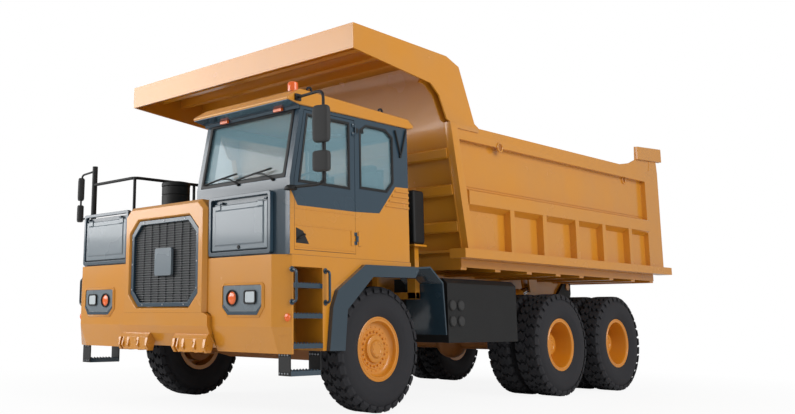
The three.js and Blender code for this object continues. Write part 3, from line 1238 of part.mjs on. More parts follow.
/** The barrel: a tube open at its head, with its foot pin, which turns against the rail. */
function hoistBarrel() {
  const body = join(
    bar(onHoist(BARREL.foot), onHoist(BARREL_LENGTH), BARREL_RADIUS, 20),
    acrossHoist(HOIST_FOOT, BARREL.eyeHalf, BARREL.eye, 20),
  );
  const bore = bar(onHoist(BARREL.boreFrom), onHoist(BARREL_LENGTH + 10), ROD_RADIUS + BARREL.boreGap, 20);
  const { y: footY, z: footZ } = HOIST_FOOT;
  const pin = bar([RAIL_OUTSIDE + FIT, footY, footZ], [HOIST_X + PIN_PAST_EYE, footY, footZ], FOOT_PIN, 24);
  return join(cut(body, bore), pin);
}

/** The rod with its eye. */
function hoistRod() {
  const length = Math.hypot(HOIST_EYE.y - HOIST_FOOT.y, HOIST_EYE.z - HOIST_FOOT.z);
  const eye = acrossHoist(HOIST_EYE, EYE_HALF, EYE_RADIUS, 16);
  const neck = bar(onHoist(length - ROD.neck), onHoist(length), EYE_HALF - 5, 12);
  return join(bar(onHoist(ROD.from), onHoist(length - ROD.shoulder), ROD_RADIUS, 20), neck, eye);
}

addPair('hoist_barrel', hoistBarrel(), yellow);
addPair('hoist_rod', hoistRod(), steel);

truck.position.y = -CENTRE_Y;

export default truck;
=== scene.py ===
"""The looks of a rigid three-axle mining dump truck: its paint, rubber, glass and fine shapes.

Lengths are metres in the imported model's frame: +Z up, the truck faces -Y and its left side is +X.
Places on the truck are given in millimetres, with Y measured back from the front axle, and at() turns them
into that frame.
"""

import json
import logging
import math
from dataclasses import dataclass, field
from enum import Enum
from typing import Callable, Iterable, Sequence

import bmesh
import bpy
import numpy as np
from mathutils import Matrix, Vector
from mathutils.bvhtree import BVHTree


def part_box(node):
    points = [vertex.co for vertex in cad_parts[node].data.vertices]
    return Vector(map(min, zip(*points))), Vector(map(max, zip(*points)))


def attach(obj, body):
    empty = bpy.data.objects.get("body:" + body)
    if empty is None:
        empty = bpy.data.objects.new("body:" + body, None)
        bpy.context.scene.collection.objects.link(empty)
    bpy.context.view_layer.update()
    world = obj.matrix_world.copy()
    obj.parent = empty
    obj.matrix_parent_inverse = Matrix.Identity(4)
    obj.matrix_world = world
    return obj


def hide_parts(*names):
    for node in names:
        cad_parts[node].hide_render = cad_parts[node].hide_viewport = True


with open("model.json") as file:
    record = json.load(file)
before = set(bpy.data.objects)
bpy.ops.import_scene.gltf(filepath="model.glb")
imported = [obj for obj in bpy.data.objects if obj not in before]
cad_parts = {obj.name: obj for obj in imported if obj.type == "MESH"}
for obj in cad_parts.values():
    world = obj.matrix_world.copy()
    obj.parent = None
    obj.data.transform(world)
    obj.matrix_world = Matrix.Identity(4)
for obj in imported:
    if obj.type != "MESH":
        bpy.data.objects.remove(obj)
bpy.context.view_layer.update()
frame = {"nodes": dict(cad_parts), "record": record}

logging.basicConfig(level=logging.INFO, format="%(name)s: %(message)s")
log = logging.getLogger("truck")

MM = 0.001
Point = Sequence[float]


SIDES = {"left": 1.0, "right": -1.0}
AXLE_Y = sum(corner[1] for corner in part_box("front_tyre_left")) / 2
BODY_OF = {n: b for b, members in frame["record"]["behaviour"]["bodies"].items() for n in members}
SHARP = math.radians(32)  # edges that fold more than this stay sharp
WELD = 2e-5  # metres within which two vertices are one
BED_HALF = 1890.0  # millimetres from the middle to the bed's side plates
ROAD_DUST = "#8d8578"


def at(x: float, y: float, z: float) -> np.ndarray:
    """A place on the truck, from millimetres behind the front axle to metres in the frame."""
    return np.array([x * MM, y * MM + AXLE_Y, z * MM])


def span(way: float, inner: float, outer: float) -> list[float]:
    """Two distances from the middle, put on the side that way points to and in order."""
    return sorted((way * inner, way * outer))


def placed(name: str, data: bpy.types.ID) -> bpy.types.Object:
    """A new object at the origin, linked to the scene."""
    made = bpy.data.objects.new(name, data)
    bpy.context.scene.collection.objects.link(made)
    return made


# ---------------------------------------------------------------- finishes
def linear(code: str) -> tuple[float, float, float, float]:
    """An sRGB hex colour as linear RGBA.

    Args:
        code: The colour as "#rrggbb".

    Returns:
        Linear red, green, blue and an alpha of 1.
    """
    parts = [int(code[i:i + 2], 16) / 255 for i in (1, 3, 5)]
    flat = [c / 12.92 if c <= 0.04045 else ((c + 0.055) / 1.055) ** 2.4 for c in parts]
    return (*flat, 1.0)


def add_node(tree: bpy.types.NodeTree, kind: str, settings: dict | None = None, **links) -> bpy.types.Node:
    """Adds one shader node.

    Args:
        tree: The material's node tree.
        kind: The node's Blender type.
        settings: Values by property name, or by input name or number.
        **links: Sockets to connect, by input name with _ for a space, or by number after "in".

    Returns:
        The new node.
    """
    made = tree.nodes.new(kind)
    for name, value in (settings or {}).items():
        if isinstance(name, str) and hasattr(made, name) and name not in made.inputs:
            setattr(made, name, value)
        else:
            made.inputs[name].default_value = value
    for name, source in links.items():
        key = int(name[2:]) if name.startswith("in") and name[2:].isdigit() else name.replace("_", " ")
        tree.links.new(source, made.inputs[key])
    return made


class Grain(Enum):
    """What breaks up a surface when it is seen from near."""

    ORANGE_PEEL = "sprayed paint, which dries in shallow waves"
    CAST = "sand-cast or flame-cut steel under paint"
    MOULDED = "rubber or plastic from a spark-eroded mould"
    WOVEN = "cloth"
    SMOOTH = "float glass or polished metal"


@dataclass(frozen=True)
class Finish:
    """A real surface: its colour, how it was made and how coarse its detail is.

    Attributes:
        name: The material's name.
        slot: The record's material slot that it belongs to.
        colour: Its sRGB hex colour.
        roughness: Typical roughness of that material.
        grain: What the surface is broken up by.
        grain_mm: Spacing of that detail in millimetres, drawn as coarse as it needs to show.
        depth_mm: Height of that detail in millimetres.
        metallic: 1 for bare metal.
        coat: Clear lacquer over the colour, from 0 to 1.
        dust: How much pale road dust lies in broad random patches, from 0 to 1.
        clear: How much light goes through, from 0 to 1.
        glow: Strength of the light that it gives off.
    """

    name: str
    slot: str
    colour: str
    roughness: float
    grain: Grain = Grain.ORANGE_PEEL
    grain_mm: float = 12.0
    depth_mm: float = 0.05
    metallic: float = 0.0
    coat: float = 0.0
    dust: float = 0.0
    clear: float = 0.0
    glow: float = 0.0

    def material(self) -> bpy.types.Material:
        """The finish as a Blender material, made once."""
        found = bpy.data.materials.get(self.name)
        return found or self._build()

    def _build(self) -> bpy.types.Material:
        """Makes the material's nodes.

        Returns:
            A material whose colour, roughness and relief all vary on Object coordinates.
        """
        material = bpy.data.materials.new(self.name)
        material.use_nodes = True
        tree = material.node_tree
        shader = tree.nodes["Principled BSDF"]
        place = add_node(tree, "ShaderNodeTexCoord").outputs["Object"]
        fine = self._relief(tree, place)
        broad = add_node(tree, "ShaderNodeTexNoise", {"Scale": 1.7, "Detail": 3.0}, Vector=place)
        tint = add_node(
            tree, "ShaderNodeMapRange",
            {"From Min": 0.3, "From Max": 0.7, "To Min": 0.0, "To Max": 0.10 + 0.5 * self.dust},
            Value=broad.outputs["Fac"],
        )
        pale = linear(ROAD_DUST) if self.dust else tuple(0.82 * c for c in linear(self.colour)[:3]) + (1.0,)
        colour = add_node(
            tree, "ShaderNodeMix", {"data_type": "RGBA", 6: linear(self.colour), 7: pale},
            in0=tint.outputs["Result"],
        )
        tree.links.new(colour.outputs[2], shader.inputs["Base Color"])
        worn = add_node(
            tree, "ShaderNodeMapRange",
            {"To Min": max(0.02, self.roughness - 0.06), "To Max": min(1.0, self.roughness + 0.08)},
            Value=broad.outputs["Fac"],
        )
        tree.links.new(worn.outputs["Result"], shader.inputs["Roughness"])
        bump = add_node(
            tree, "ShaderNodeBump", {"Strength": 1.0, "Distance": self.depth_mm * MM}, Height=fine,
        )
        tree.links.new(bump.outputs["Normal"], shader.inputs["Normal"])
        shader.inputs["Metallic"].default_value = self.metallic
        shader.inputs["Coat Weight"].default_value = self.coat
        shader.inputs["Coat Roughness"].default_value = 0.08
        shader.inputs["Transmission Weight"].default_value = self.clear
        if self.glow:
            shader.inputs["Emission Color"].default_value = linear(self.colour)
            shader.inputs["Emission Strength"].default_value = self.glow
        material.diffuse_color = linear(self.colour)
        return material

    def _relief(self, tree: bpy.types.NodeTree, place: bpy.types.NodeSocket) -> bpy.types.NodeSocket:
        """The height pattern of the grain.

        Args:
            tree: The material's node tree.
            place: Object coordinates.

        Returns:
            A socket that holds the height, from 0 to 1.
        """
        scale = 1000.0 / self.grain_mm
        if self.grain is Grain.WOVEN:
            return add_node(tree, "ShaderNodeTexWave", {"Scale": scale / 6.3}, Vector=place).outputs["Fac"]
        if self.grain is Grain.MOULDED:
            cells = add_node(tree, "ShaderNodeTexVoronoi", {"Scale": scale}, Vector=place)
            return cells.outputs["Distance"]
        detail = 5.0 if self.grain is Grain.CAST else 1.0
        return add_node(tree, "ShaderNodeTexNoise", {"Scale": scale, "Detail": detail}, Vector=place).outputs["Fac"]


# Two-pack machine enamel over steel: a saturated colour under a hard gloss film.
YELLOW = Finish("yellow_enamel", "yellow_paint", "#d48c20", 0.24, coat=0.5, dust=0.01)
# The same enamel in slate, a little less glossy.
SLATE = Finish("slate_enamel", "blue_grey_paint", "#2b404e", 0.24, coat=0.5)
# Sprayed panel grey on the nose hatches and lamp housings.
PANEL_GREY = Finish("panel_grey_enamel", "blue_grey_paint", "#6a767e", 0.26, coat=0.5)
# Dark slate enamel over textured fender polymer.
FENDER = Finish("fender_enamel", "blue_grey_paint", "#283b47", 0.24, Grain.MOULDED, 5.0, 0.03, coat=0.6)
# Chassis black: thin satin paint on hot-rolled plate.
BLACK = Finish("chassis_black", "black_paint", "#030405", 0.6, Grain.CAST, 9.0, 0.2)
# Satin grille grey, sprayed on pressed louvres.
GRILLE = Finish("grille_enamel", "black_paint", "#34383b", 0.4, Grain.ORANGE_PEEL, 9.0, 0.05)
# Cast and forged running gear, painted over the foundry skin.
CAST_ORANGE = Finish("cast_orange", "axle_orange", "#a8641a", 0.44, Grain.CAST, 7.0, 0.25, dust=0.03)
# Wheel enamel, sprayed on rolled rims.
WHEEL = Finish("wheel_enamel", "axle_orange", "#d98a1c", 0.30, coat=0.4, dust=0.02)
# Natural-rubber tread compound with carbon black: dull, with a faint bloom.
RUBBER = Finish("tyre_rubber", "tyre_rubber", "#0b0e10", 0.66, Grain.MOULDED, 6.0, 0.25, dust=0.02)
# Extruded window and door seals.
SEAL = Finish("seal_rubber", "black_paint", "#07090b", 0.55, Grain.MOULDED, 5.0, 0.1)
# Green-blue float glass.
GLASS = Finish("tinted_glass", "tinted_glass", "#7fbac9", 0.03, Grain.SMOOTH, 400.0, 0.1, clear=0.92)
# Injection-moulded cab plastic.
PLASTIC = Finish("cab_plastic", "cab_plastic", "#0c0e10", 0.4, Grain.MOULDED, 4.0, 0.1)
# Woven seat cloth.
CLOTH = Finish("seat_cloth", "seat_fabric", "#2a2d31", 0.92, Grain.WOVEN, 5.0, 0.6)
# Hard chrome on a ground piston rod.
CHROME = Finish("hard_chrome", "hoist_chrome", "#c9ccce", 0.12, Grain.SMOOTH, 60.0, 0.02, metallic=1.0)
# Zinc-plated bolts and latches.
ZINC = Finish("zinc_plate", "black_paint", "#8f9296", 0.38, Grain.CAST, 5.0, 0.05, metallic=1.0)
# Amber and clear acrylic lamp lenses. The amber one gives off a faint painted glow, which stands in for the light that
# the reflector behind it sends back; the corner reflectors, which are no lamps, glow with it too.
AMBER = Finish("amber_lens", "axle_orange", "#e8641a", 0.12, Grain.SMOOTH, 30.0, 0.1, coat=0.6, glow=0.1)
LENS = Finish("clear_lens", "hoist_chrome", "#c9d2d6", 0.10, Grain.SMOOTH, 25.0, 0.3, coat=0.8)
# Silvered glass of the mirrors.
MIRROR = Finish("mirror_glass", "hoist_chrome", "#b9c2c6", 0.05, Grain.SMOOTH, 400.0, 0.02, metallic=1.0)


# ---------------------------------------------------------------- surfaces
@dataclass
class Shape:
    """Surfaces gathered into one mesh.

    Attributes:
        points: Arrays of vertices, one for each surface added.
        faces: Vertex numbers of each face, counted through all the arrays.
    """

    points: list[np.ndarray] = field(default_factory=list)
    faces: list[tuple[int, ...]] = field(default_factory=list)
    count: int = 0

    def add(self, points: np.ndarray, faces: Iterable[Sequence[int]]) -> "Shape":
        """Adds vertices and the faces between them.

        Args:
            points: Vertices in metres, in an array of any shape whose last axis is x, y, z.
            faces: The vertex numbers of each face, counted from the first of these vertices.

        Returns:
            This shape.
        """
        flat = np.asarray(points, float).reshape(-1, 3)
        self.faces += [tuple(int(i) + self.count for i in face) for face in faces]
        self.points.append(flat)
        self.count += len(flat)
        return self

    def grid(self, net: np.ndarray, round_u: bool = False, round_v: bool = False, ends: bool = False) -> "Shape":
        """Adds a surface given as a net of points: quad (i, j) joins rows i and i+1 at columns j and j+1.

        Args:
            net: Points, rows by columns by 3.
            round_u: Whether the last row joins the first.
            round_v: Whether the last column joins the first.
            ends: Whether the first and last rows are closed with a face each.
        """
        rows, columns = net.shape[:2]
        number = np.arange(rows * columns).reshape(rows, columns)
        i = np.arange(rows if round_u else rows - 1)
        j = np.arange(columns if round_v else columns - 1)
        near, far = np.meshgrid(i, j, indexing="ij")
        beyond, beside = (near + 1) % rows, (far + 1) % columns
        quads = np.stack([number[near, far], number[near, beside], number[beyond, beside], number[beyond, far]], -1)
        faces = [tuple(q) for q in quads.reshape(-1, 4)]
        if ends:
            faces += [tuple(number[0][::-1]), tuple(number[-1])]
        return self.add(net, faces)

    def prism(self, axis: str, low: float, high: float, outline: Sequence[Point]) -> "Shape":
        """Adds a flat outline in truck millimetres carried along an axis from low to high.

        Args:
            axis: "x", "y" or "z". The outline's points are then (y, z), (x, z) or (x, y).
            low: Where it starts along that axis.
            high: Where it ends.
            outline: Its corners in order.
        """
        order = {"x": (0, 1, 2), "y": (1, 0, 2), "z": (1, 2, 0)}[axis]
        flat = np.array(outline, float)
        net = np.stack([np.column_stack([np.full(len(flat), end), flat])[:, order] for end in (low, high)])
        return self.grid(net * MM + [0, AXLE_Y, 0], round_v=True, ends=True)

    def block(self, x: Point, y: Point, z: Point) -> "Shape":
        """Adds a box between two truck values on each axis."""
        return self.prism("x", x[0], x[1], [(y[0], z[0]), (y[1], z[0]), (y[1], z[1]), (y[0], z[1])])

    def turned(self, profile: Sequence[Point], centre: Point, sides: int = 64, axis: str = "x",
               way: float = 1.0) -> "Shape":
        """Adds a profile of (radius, distance) turned about an axis: each point runs round a circle.

        The profile closes on itself or starts and ends at radius 0, so the surface has no open ends.

        Args:
            profile: Radius and distance along the axis, in millimetres.
            centre: The zero of that distance, in metres in the frame.
            sides: Steps in the circle.
            axis: The axis it is turned about.
            way: -1 to run the distance the other way.
        """
        outline = np.array(profile, float) * MM
        angle = np.linspace(0, 2 * math.pi, sides, endpoint=False)
        radius, along = outline[:, 0][:, None], outline[:, 1][:, None] * way
        round_a, round_b = radius * np.cos(angle), radius * np.sin(angle)
        flat = np.broadcast_to(along, round_a.shape)
        order = {"x": (flat, round_a, round_b), "y": (round_b, flat, round_a), "z": (round_a, round_b, flat)}[axis]
        return self.grid(np.stack(order, -1) + np.asarray(centre, float), round_v=True)

    def tube(self, path: Sequence[Point], radius: float, sides: int = 12, bend: float = 0.0) -> "Shape":
        """Adds a round tube along a path of truck points, with its corners turned into arcs.

        The ring at each point lies square to the mean of the directions before and after it.

        Args:
            path: Truck points in millimetres.
            radius: The tube's radius in millimetres.
            sides: Steps round the tube.
            bend: How far before and after a corner its arc starts, in millimetres.
        """
        line = rounded(np.array(path, float), bend) * MM + [0, AXLE_Y, 0]
        step = np.diff(line, axis=0)
        step /= np.linalg.norm(step, axis=1)[:, None]
        along = np.vstack([step[:1], step[:-1] + step[1:], step[-1:]])
        along /= np.linalg.norm(along, axis=1)[:, None]
        spare = np.array([0.31, 0.17, 0.94]) if abs(along[0, 2]) < 0.9 else np.array([0.95, 0.2, 0.1])
        side = np.cross(along, spare)
        side /= np.linalg.norm(side, axis=1)[:, None]
        other = np.cross(along, side)
        angle = np.linspace(0, 2 * math.pi, sides, endpoint=False)
        ring = side[:, None] * np.cos(angle)[:, None] + other[:, None] * np.sin(angle)[:, None]
        return self.grid(line[:, None] + ring * radius * MM, round_v=True, ends=True)

    def hoops(self, rungs: Sequence[tuple[Sequence[Point], float]], ring: bool = True) -> "Shape":
        """Joins loops with the same number of corners, one behind another.

        Args:
            rungs: Loops of (x, z) with the y of each, in truck millimetres.
            ring: Whether the last loop joins the first; if not, the two are closed with a face each.
        """
        net = np.stack([[at(x, y, z) for x, z in loop] for loop, y in rungs])
        return self.grid(net, round_u=ring, round_v=True, ends=not ring)

    def object(self, name: str, finish: Finish, bevel: float = 0.0, **placing) -> bpy.types.Object:
        """Makes the gathered surfaces a piece of the truck.

        Args:
            name: The piece's name.
            finish: Its finish.
            bevel: Width of its rounded edges in millimetres, or 0.
            **placing: The body, slot and replaced nodes, as settle() takes them.

        Returns:
            The new object, at the origin.
        """
        mesh = bpy.data.meshes.new(name)
        mesh.from_pydata(np.vstack(self.points).tolist(), [], self.faces)
        return settle(mesh, name, finish, bevel, **placing)


def rounded(line: np.ndarray, bend: float, steps: int = 5) -> np.ndarray:
    """A path whose inner corners are replaced by curves: each is a quadratic from bend before it to bend after.

    Args:
        line: The path's points.
        bend: How far from a corner its curve starts.
        steps: Spans in each curve.

    Returns:
        The new path.
    """
    if not bend or len(line) < 3:
        return line
    share = np.linspace(0, 1, steps + 1)[:, None]
    parts = [line[:1]]
    for before, corner, after in zip(line[:-2], line[1:-1], line[2:]):
        start = corner + (before - corner) * min(0.49, bend / np.linalg.norm(before - corner))
        end = corner + (after - corner) * min(0.49, bend / np.linalg.norm(after - corner))
        parts.append((1 - share) ** 2 * start + 2 * share * (1 - share) * corner + share ** 2 * end)
    return np.vstack([*parts, line[-1:]])


def settle(mesh: bpy.types.Mesh, name: str, finish: Finish, bevel: float = 0.0, body: str = "chassis",
           slot: str = "", replaces: Sequence[str] = ()) -> bpy.types.Object:
    """Cleans a mesh, links it as a piece and gives it its finish and body.

    Args:
        mesh: The mesh, already in its place.
        name: The piece's name.
        finish: Its finish.
        bevel: Width of its rounded edges in millimetres, or 0.
        body: The body that it moves with.
        slot: The record's material slot; not used.
        replaces: The CAD nodes that it stands for.

    Returns:
        The new object.
    """
    work = bmesh.new()
    work.from_mesh(mesh)
    bmesh.ops.remove_doubles(work, verts=work.verts, dist=WELD)
    bmesh.ops.recalc_face_normals(work, faces=work.faces)
    work.to_mesh(mesh)
    work.free()
    piece = placed(name, mesh)
    mesh.materials.append(finish.material())
    mesh.polygons.foreach_set("use_smooth", [True] * len(mesh.polygons))
    mesh.set_sharp_from_angle(angle=SHARP)
    if bevel:
        cut = piece.modifiers.new("edges", "BEVEL")
        cut.width = bevel * MM
        cut.segments = 2
        cut.limit_method = "ANGLE"
        cut.angle_limit = SHARP
        cut.harden_normals = True
    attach(piece, body)
    if replaces:
        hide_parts(*replaces)
    log.info("%s rides on %s", name, body)
    return piece


def finer(node: str, finish: Finish, bevel: float = 5.0,
          reshape: Callable[[np.ndarray], np.ndarray] | None = None, cut_at: float = 0.0) -> bpy.types.Object:
    """A CAD node's shape with rounded edges, which stands for the node.

    Args:
        node: The CAD node.
        finish: Its finish.
        bevel: Width of the rounded edges in millimetres.
        reshape: What moves the copy's vertices, in metres, or None.
        cut_at: Height in millimetres of a level cut made first, so that the copy can bend there.

    Returns:
        The new piece.
    """
    mesh = frame["nodes"][node].data.copy()
    mesh.materials.clear()
    work = bmesh.new()
    work.from_mesh(mesh)
    bmesh.ops.remove_doubles(work, verts=work.verts, dist=1e-5)
    bmesh.ops.dissolve_limit(work, angle_limit=math.radians(1), verts=work.verts, edges=work.edges)
    if cut_at:
        everything = [*work.verts, *work.edges, *work.faces]
        bmesh.ops.bisect_plane(work, geom=everything, plane_co=(0, 0, cut_at * MM), plane_no=(0, 0, 1))
    work.to_mesh(mesh)
    work.free()
    if reshape:
        flat = np.empty(len(mesh.vertices) * 3, np.float32)
        mesh.vertices.foreach_get("co", flat)
        mesh.vertices.foreach_set("co", reshape(flat.reshape(-1, 3)).astype(np.float32).ravel())
        mesh.update()
    return settle(mesh, f"{node}_finished", finish, bevel, BODY_OF[node], replaces=[node])


def mitred(outline: np.ndarray, distance: float) -> np.ndarray:
    """A closed outline moved outwards, each corner along the mean of its two edges' normals.

    Args:
        outline: Corners in order, as two columns.
        distance: How far the edges move out, or in where it is below 0.

    Returns:
        The moved corners.
    """
    edge = np.roll(outline, -1, axis=0) - outline
    edge /= np.linalg.norm(edge, axis=1)[:, None]
    after = np.roll(outline, -1, axis=0)
    turning = np.sum(outline[:, 0] * after[:, 1] - after[:, 0] * outline[:, 1])
    normal = np.column_stack([edge[:, 1], -edge[:, 0]]) * np.sign(turning)
    before = np.roll(normal, 1, axis=0)
    return outline + distance * (before + normal) / (1 + np.sum(before * normal, axis=1))[:, None]


def reach_of(node: str, y: float, z: float) -> float:
    """How far out on the left a CAD node's surface is, found with a ray from outside.

    Args:
        node: The CAD node.
        y: Distance behind the front axle in millimetres.
        z: Height in millimetres.

    Returns:
        The distance from the middle in millimetres, or the bed's half width where the ray meets nothing.
    """
    mesh = frame["nodes"][node].data
    tree = BVHTree.FromPolygons([v.co for v in mesh.vertices], [tuple(f.vertices) for f in mesh.polygons])
    place = tree.ray_cast(Vector(at(3000.0, y, z).tolist()), Vector((-1, 0, 0)))[0]
    return place.x / MM if place else BED_HALF


# ---------------------------------------------------------------- wheels
@dataclass
class Tyre:
    """An earthmover tyre with deep zigzag bars.

    Attributes:
        node: The CAD tyre that it stands for.
        lugs: Bars round each half of the tread.
        depth: Height of the bars in millimetres.
        bead: Radius of its foot on the rim in millimetres.
    """

    node: str
    lugs: int = 31
    depth: float = 30.0
    bead: float = 322.0

    def profile(self, radius: float, half: float) -> list[Point]:
        """The carcass from bead to bead: straight beads, sidewalls that swell as a sine, and a flat tread.

        Args:
            radius: The tyre's outer radius in millimetres.
            half: Half its width.
        """
        base = radius - self.depth
        share = np.linspace(0, 1, 15)
        wall_radius = self.bead + 30 + share * (base - self.bead - 42)
        wall_x = 0.74 * half + 0.26 * half * np.sin(math.pi * share) ** 0.7
        ridge = 3.0 * ((np.arange(15) == 5) | (np.arange(15) == 10))
        side = [(self.bead, 0.70 * half), *zip(wall_radius, wall_x + ridge), (base, 0.70 * half)]
        return [(r, x) for r, x in side] + [(r, -x) for r, x in reversed(side)]

    def bars(self, radius: float, half: float, centre: np.ndarray) -> np.ndarray:
        """The tread bars of both halves: each zigzags across the tread and drops over the shoulder.

        Args:
            radius: The tyre's outer radius in millimetres.
            half: Half its width.
            centre: The wheel's middle in metres.

        Returns:
            Points by bar, step across and corner of its section.
        """
        across = np.array([0.02, 0.22, 0.40, 0.60, 0.80, 0.93])
        sway = np.array([0.0, 0.30, 0.02, 0.34, 0.06, 0.16])
        top = radius - np.array([0, 0, 0, 0, 4, 42])
        foot = top - np.array([40, 40, 40, 40, 44, 30])
        pitch = 2 * math.pi / self.lugs
        made = []
        for side, start in ((1, 0.0), (-1, 0.5)):
            spin = (np.arange(self.lugs) + start)[:, None, None] * pitch
            width = np.array([-0.32, 0.32, 0.38, -0.38]) * pitch
            angle = spin + (sway * pitch)[None, :, None] + width
            reach = np.stack([top, top, foot, foot], -1)[None]
            x = np.broadcast_to((side * across * half)[None, :, None], angle.shape)
            made.append(np.stack([x, reach * np.cos(angle), reach * np.sin(angle)], -1))
        return np.concatenate(made) * MM + centre

    def build(self) -> None:
        """Makes the tyre."""
        low, high = (np.array(corner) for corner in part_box(self.node))
        centre = (low + high) / 2
        radius = float(centre[2]) / MM
        half = float(high[0] - low[0]) / 2 / MM
        shape = Shape().turned(closed(self.profile(radius, half)), centre, 96)
        for bar in self.bars(radius, half, centre):
            shape.grid(bar, round_v=True, ends=True)
        shape.object(f"{self.node}_treaded", RUBBER, body=BODY_OF[self.node], replaces=[self.node])


def closed(profile: Sequence[Point]) -> list[Point]:
    """A profile that comes back to its start, for a ring with no open ends."""
    return [*profile, profile[0]]


def ring_of(shape: Shape, count: int, radius: float, centre: np.ndarray, from_x: float, to_x: float,
            bolt: float, way: float, turn: float = 0.0) -> None:
    """Adds bolt heads round a wheel, each a six-sided post with a chamfered top.

    Args:
        shape: Where they are added.
        count: How many there are.
        radius: Radius of their circle in millimetres.
        centre: The wheel's middle in metres.
        from_x: Where they start, outboard of the middle.
        to_x: Where they end.
        bolt: Radius of a head.
        way: 1 on the left, -1 on the right.
        turn: Angle of the first one.
    """
    for angle in np.arange(count) * 2 * math.pi / count + turn:
        place = centre + np.array([0, math.cos(angle), math.sin(angle)]) * radius * MM
        profile = [(0.0, from_x), (bolt, from_x), (bolt, to_x - 4), (0.7 * bolt, to_x), (0.0, to_x)]
        shape.turned(profile, place, 6, way=way)


@dataclass
class Rim:
    """A bolted disc wheel with its hub.

    Attributes:
        node: The CAD rim that it stands for.
        twin: Whether it carries two tyres on a deep dish.
    """

    node: str
    twin: bool = False

    def build(self) -> None:
        """Makes the rim, its hub and its bolts."""
        low, high = (np.array(corner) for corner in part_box(self.node))
        centre = (low + high) / 2
        way = 1.0 if centre[0] > 0 else -1.0
        half = float(high[0] - low[0]) / 2 / MM
        shape = Shape()
        if self.twin:
            self._dish(shape, centre, half, way)
        else:
            self._disc(shape, centre, half, way)
        shape.object(f"{self.node}_bolted", WHEEL, body=BODY_OF[self.node], replaces=[self.node])

    @staticmethod
    def _lip(half: float) -> list[Point]:
        """The rolled outer lip: a flange, a gutter and the lock ring, as radius and distance."""
        return [
            (351, half - 12), (352, half - 3), (346, half), (338, half - 1), (333, half - 8), (324, half - 9),
            (318, half - 4), (306, half - 5), (301, half - 14), (299, half - 34),
        ]

    def _disc(self, shape: Shape, centre: np.ndarray, half: float, way: float) -> None:
        """Adds a front wheel's shallow disc, bolt ring and domed hub.

        Args:
            shape: Where they are added.
            centre: The wheel's middle in metres.
            half: Half the rim's width in millimetres.
            way: 1 on the left, -1 on the right.
        """
        face = [
            *self._lip(half), (292, 92), (272, 72), (262, 68), (222, 66), (216, 72), (158, 72), (152, 80),
            (148, 100), (132, 108), (104, 110), (98, 122), (86, 133), (56, 135), (50, 131), (0, 131),
        ]
        back = [(0, -20), (165, -20), (170, 30), (295, 30), (299, -half), (351, -half), (351, 12 - half),
                (318, 12 - half), (318, half - 12)]
        shape.turned([*face, *back, face[0]], centre, 72, way=way)
        ring_of(shape, 20, 188, centre, 68, 92, 13, way)
        ring_of(shape, 20, 240, centre, 60, 74, 9, way, 0.157)
        ring_of(shape, 8, 76, centre, 118, 140, 7, way)

    def _dish(self, shape: Shape, centre: np.ndarray, half: float, way: float) -> None:
        """Adds a driven wheel's deep dish and planetary hub; the arguments are those of _disc()."""
        face = [
            *self._lip(half), (296, half - 120), (290, 90), (270, 40), (250, 30), (188, 30), (182, 38), (178, 150),
            (170, 160), (150, 166), (146, 186), (134, 198), (92, 202), (86, 196), (0, 196),
        ]
        back = [(0, -30), (290, -30), (299, -half), (351, -half), (351, 12 - half), (318, 12 - half), (318, -79),
                (351, -79), (351, -67), (300, -66), (300, 66), (351, 67), (351, 79), (318, 79), (318, half - 12)]
        shape.turned([*face, *back, face[0]], centre, 72, way=way)
        ring_of(shape, 20, 222, centre, 28, 54, 13, way)
        ring_of(shape, 12, 162, centre, 158, 176, 8, way)
        ring_of(shape, 6, 70, centre, 190, 204, 8, way)


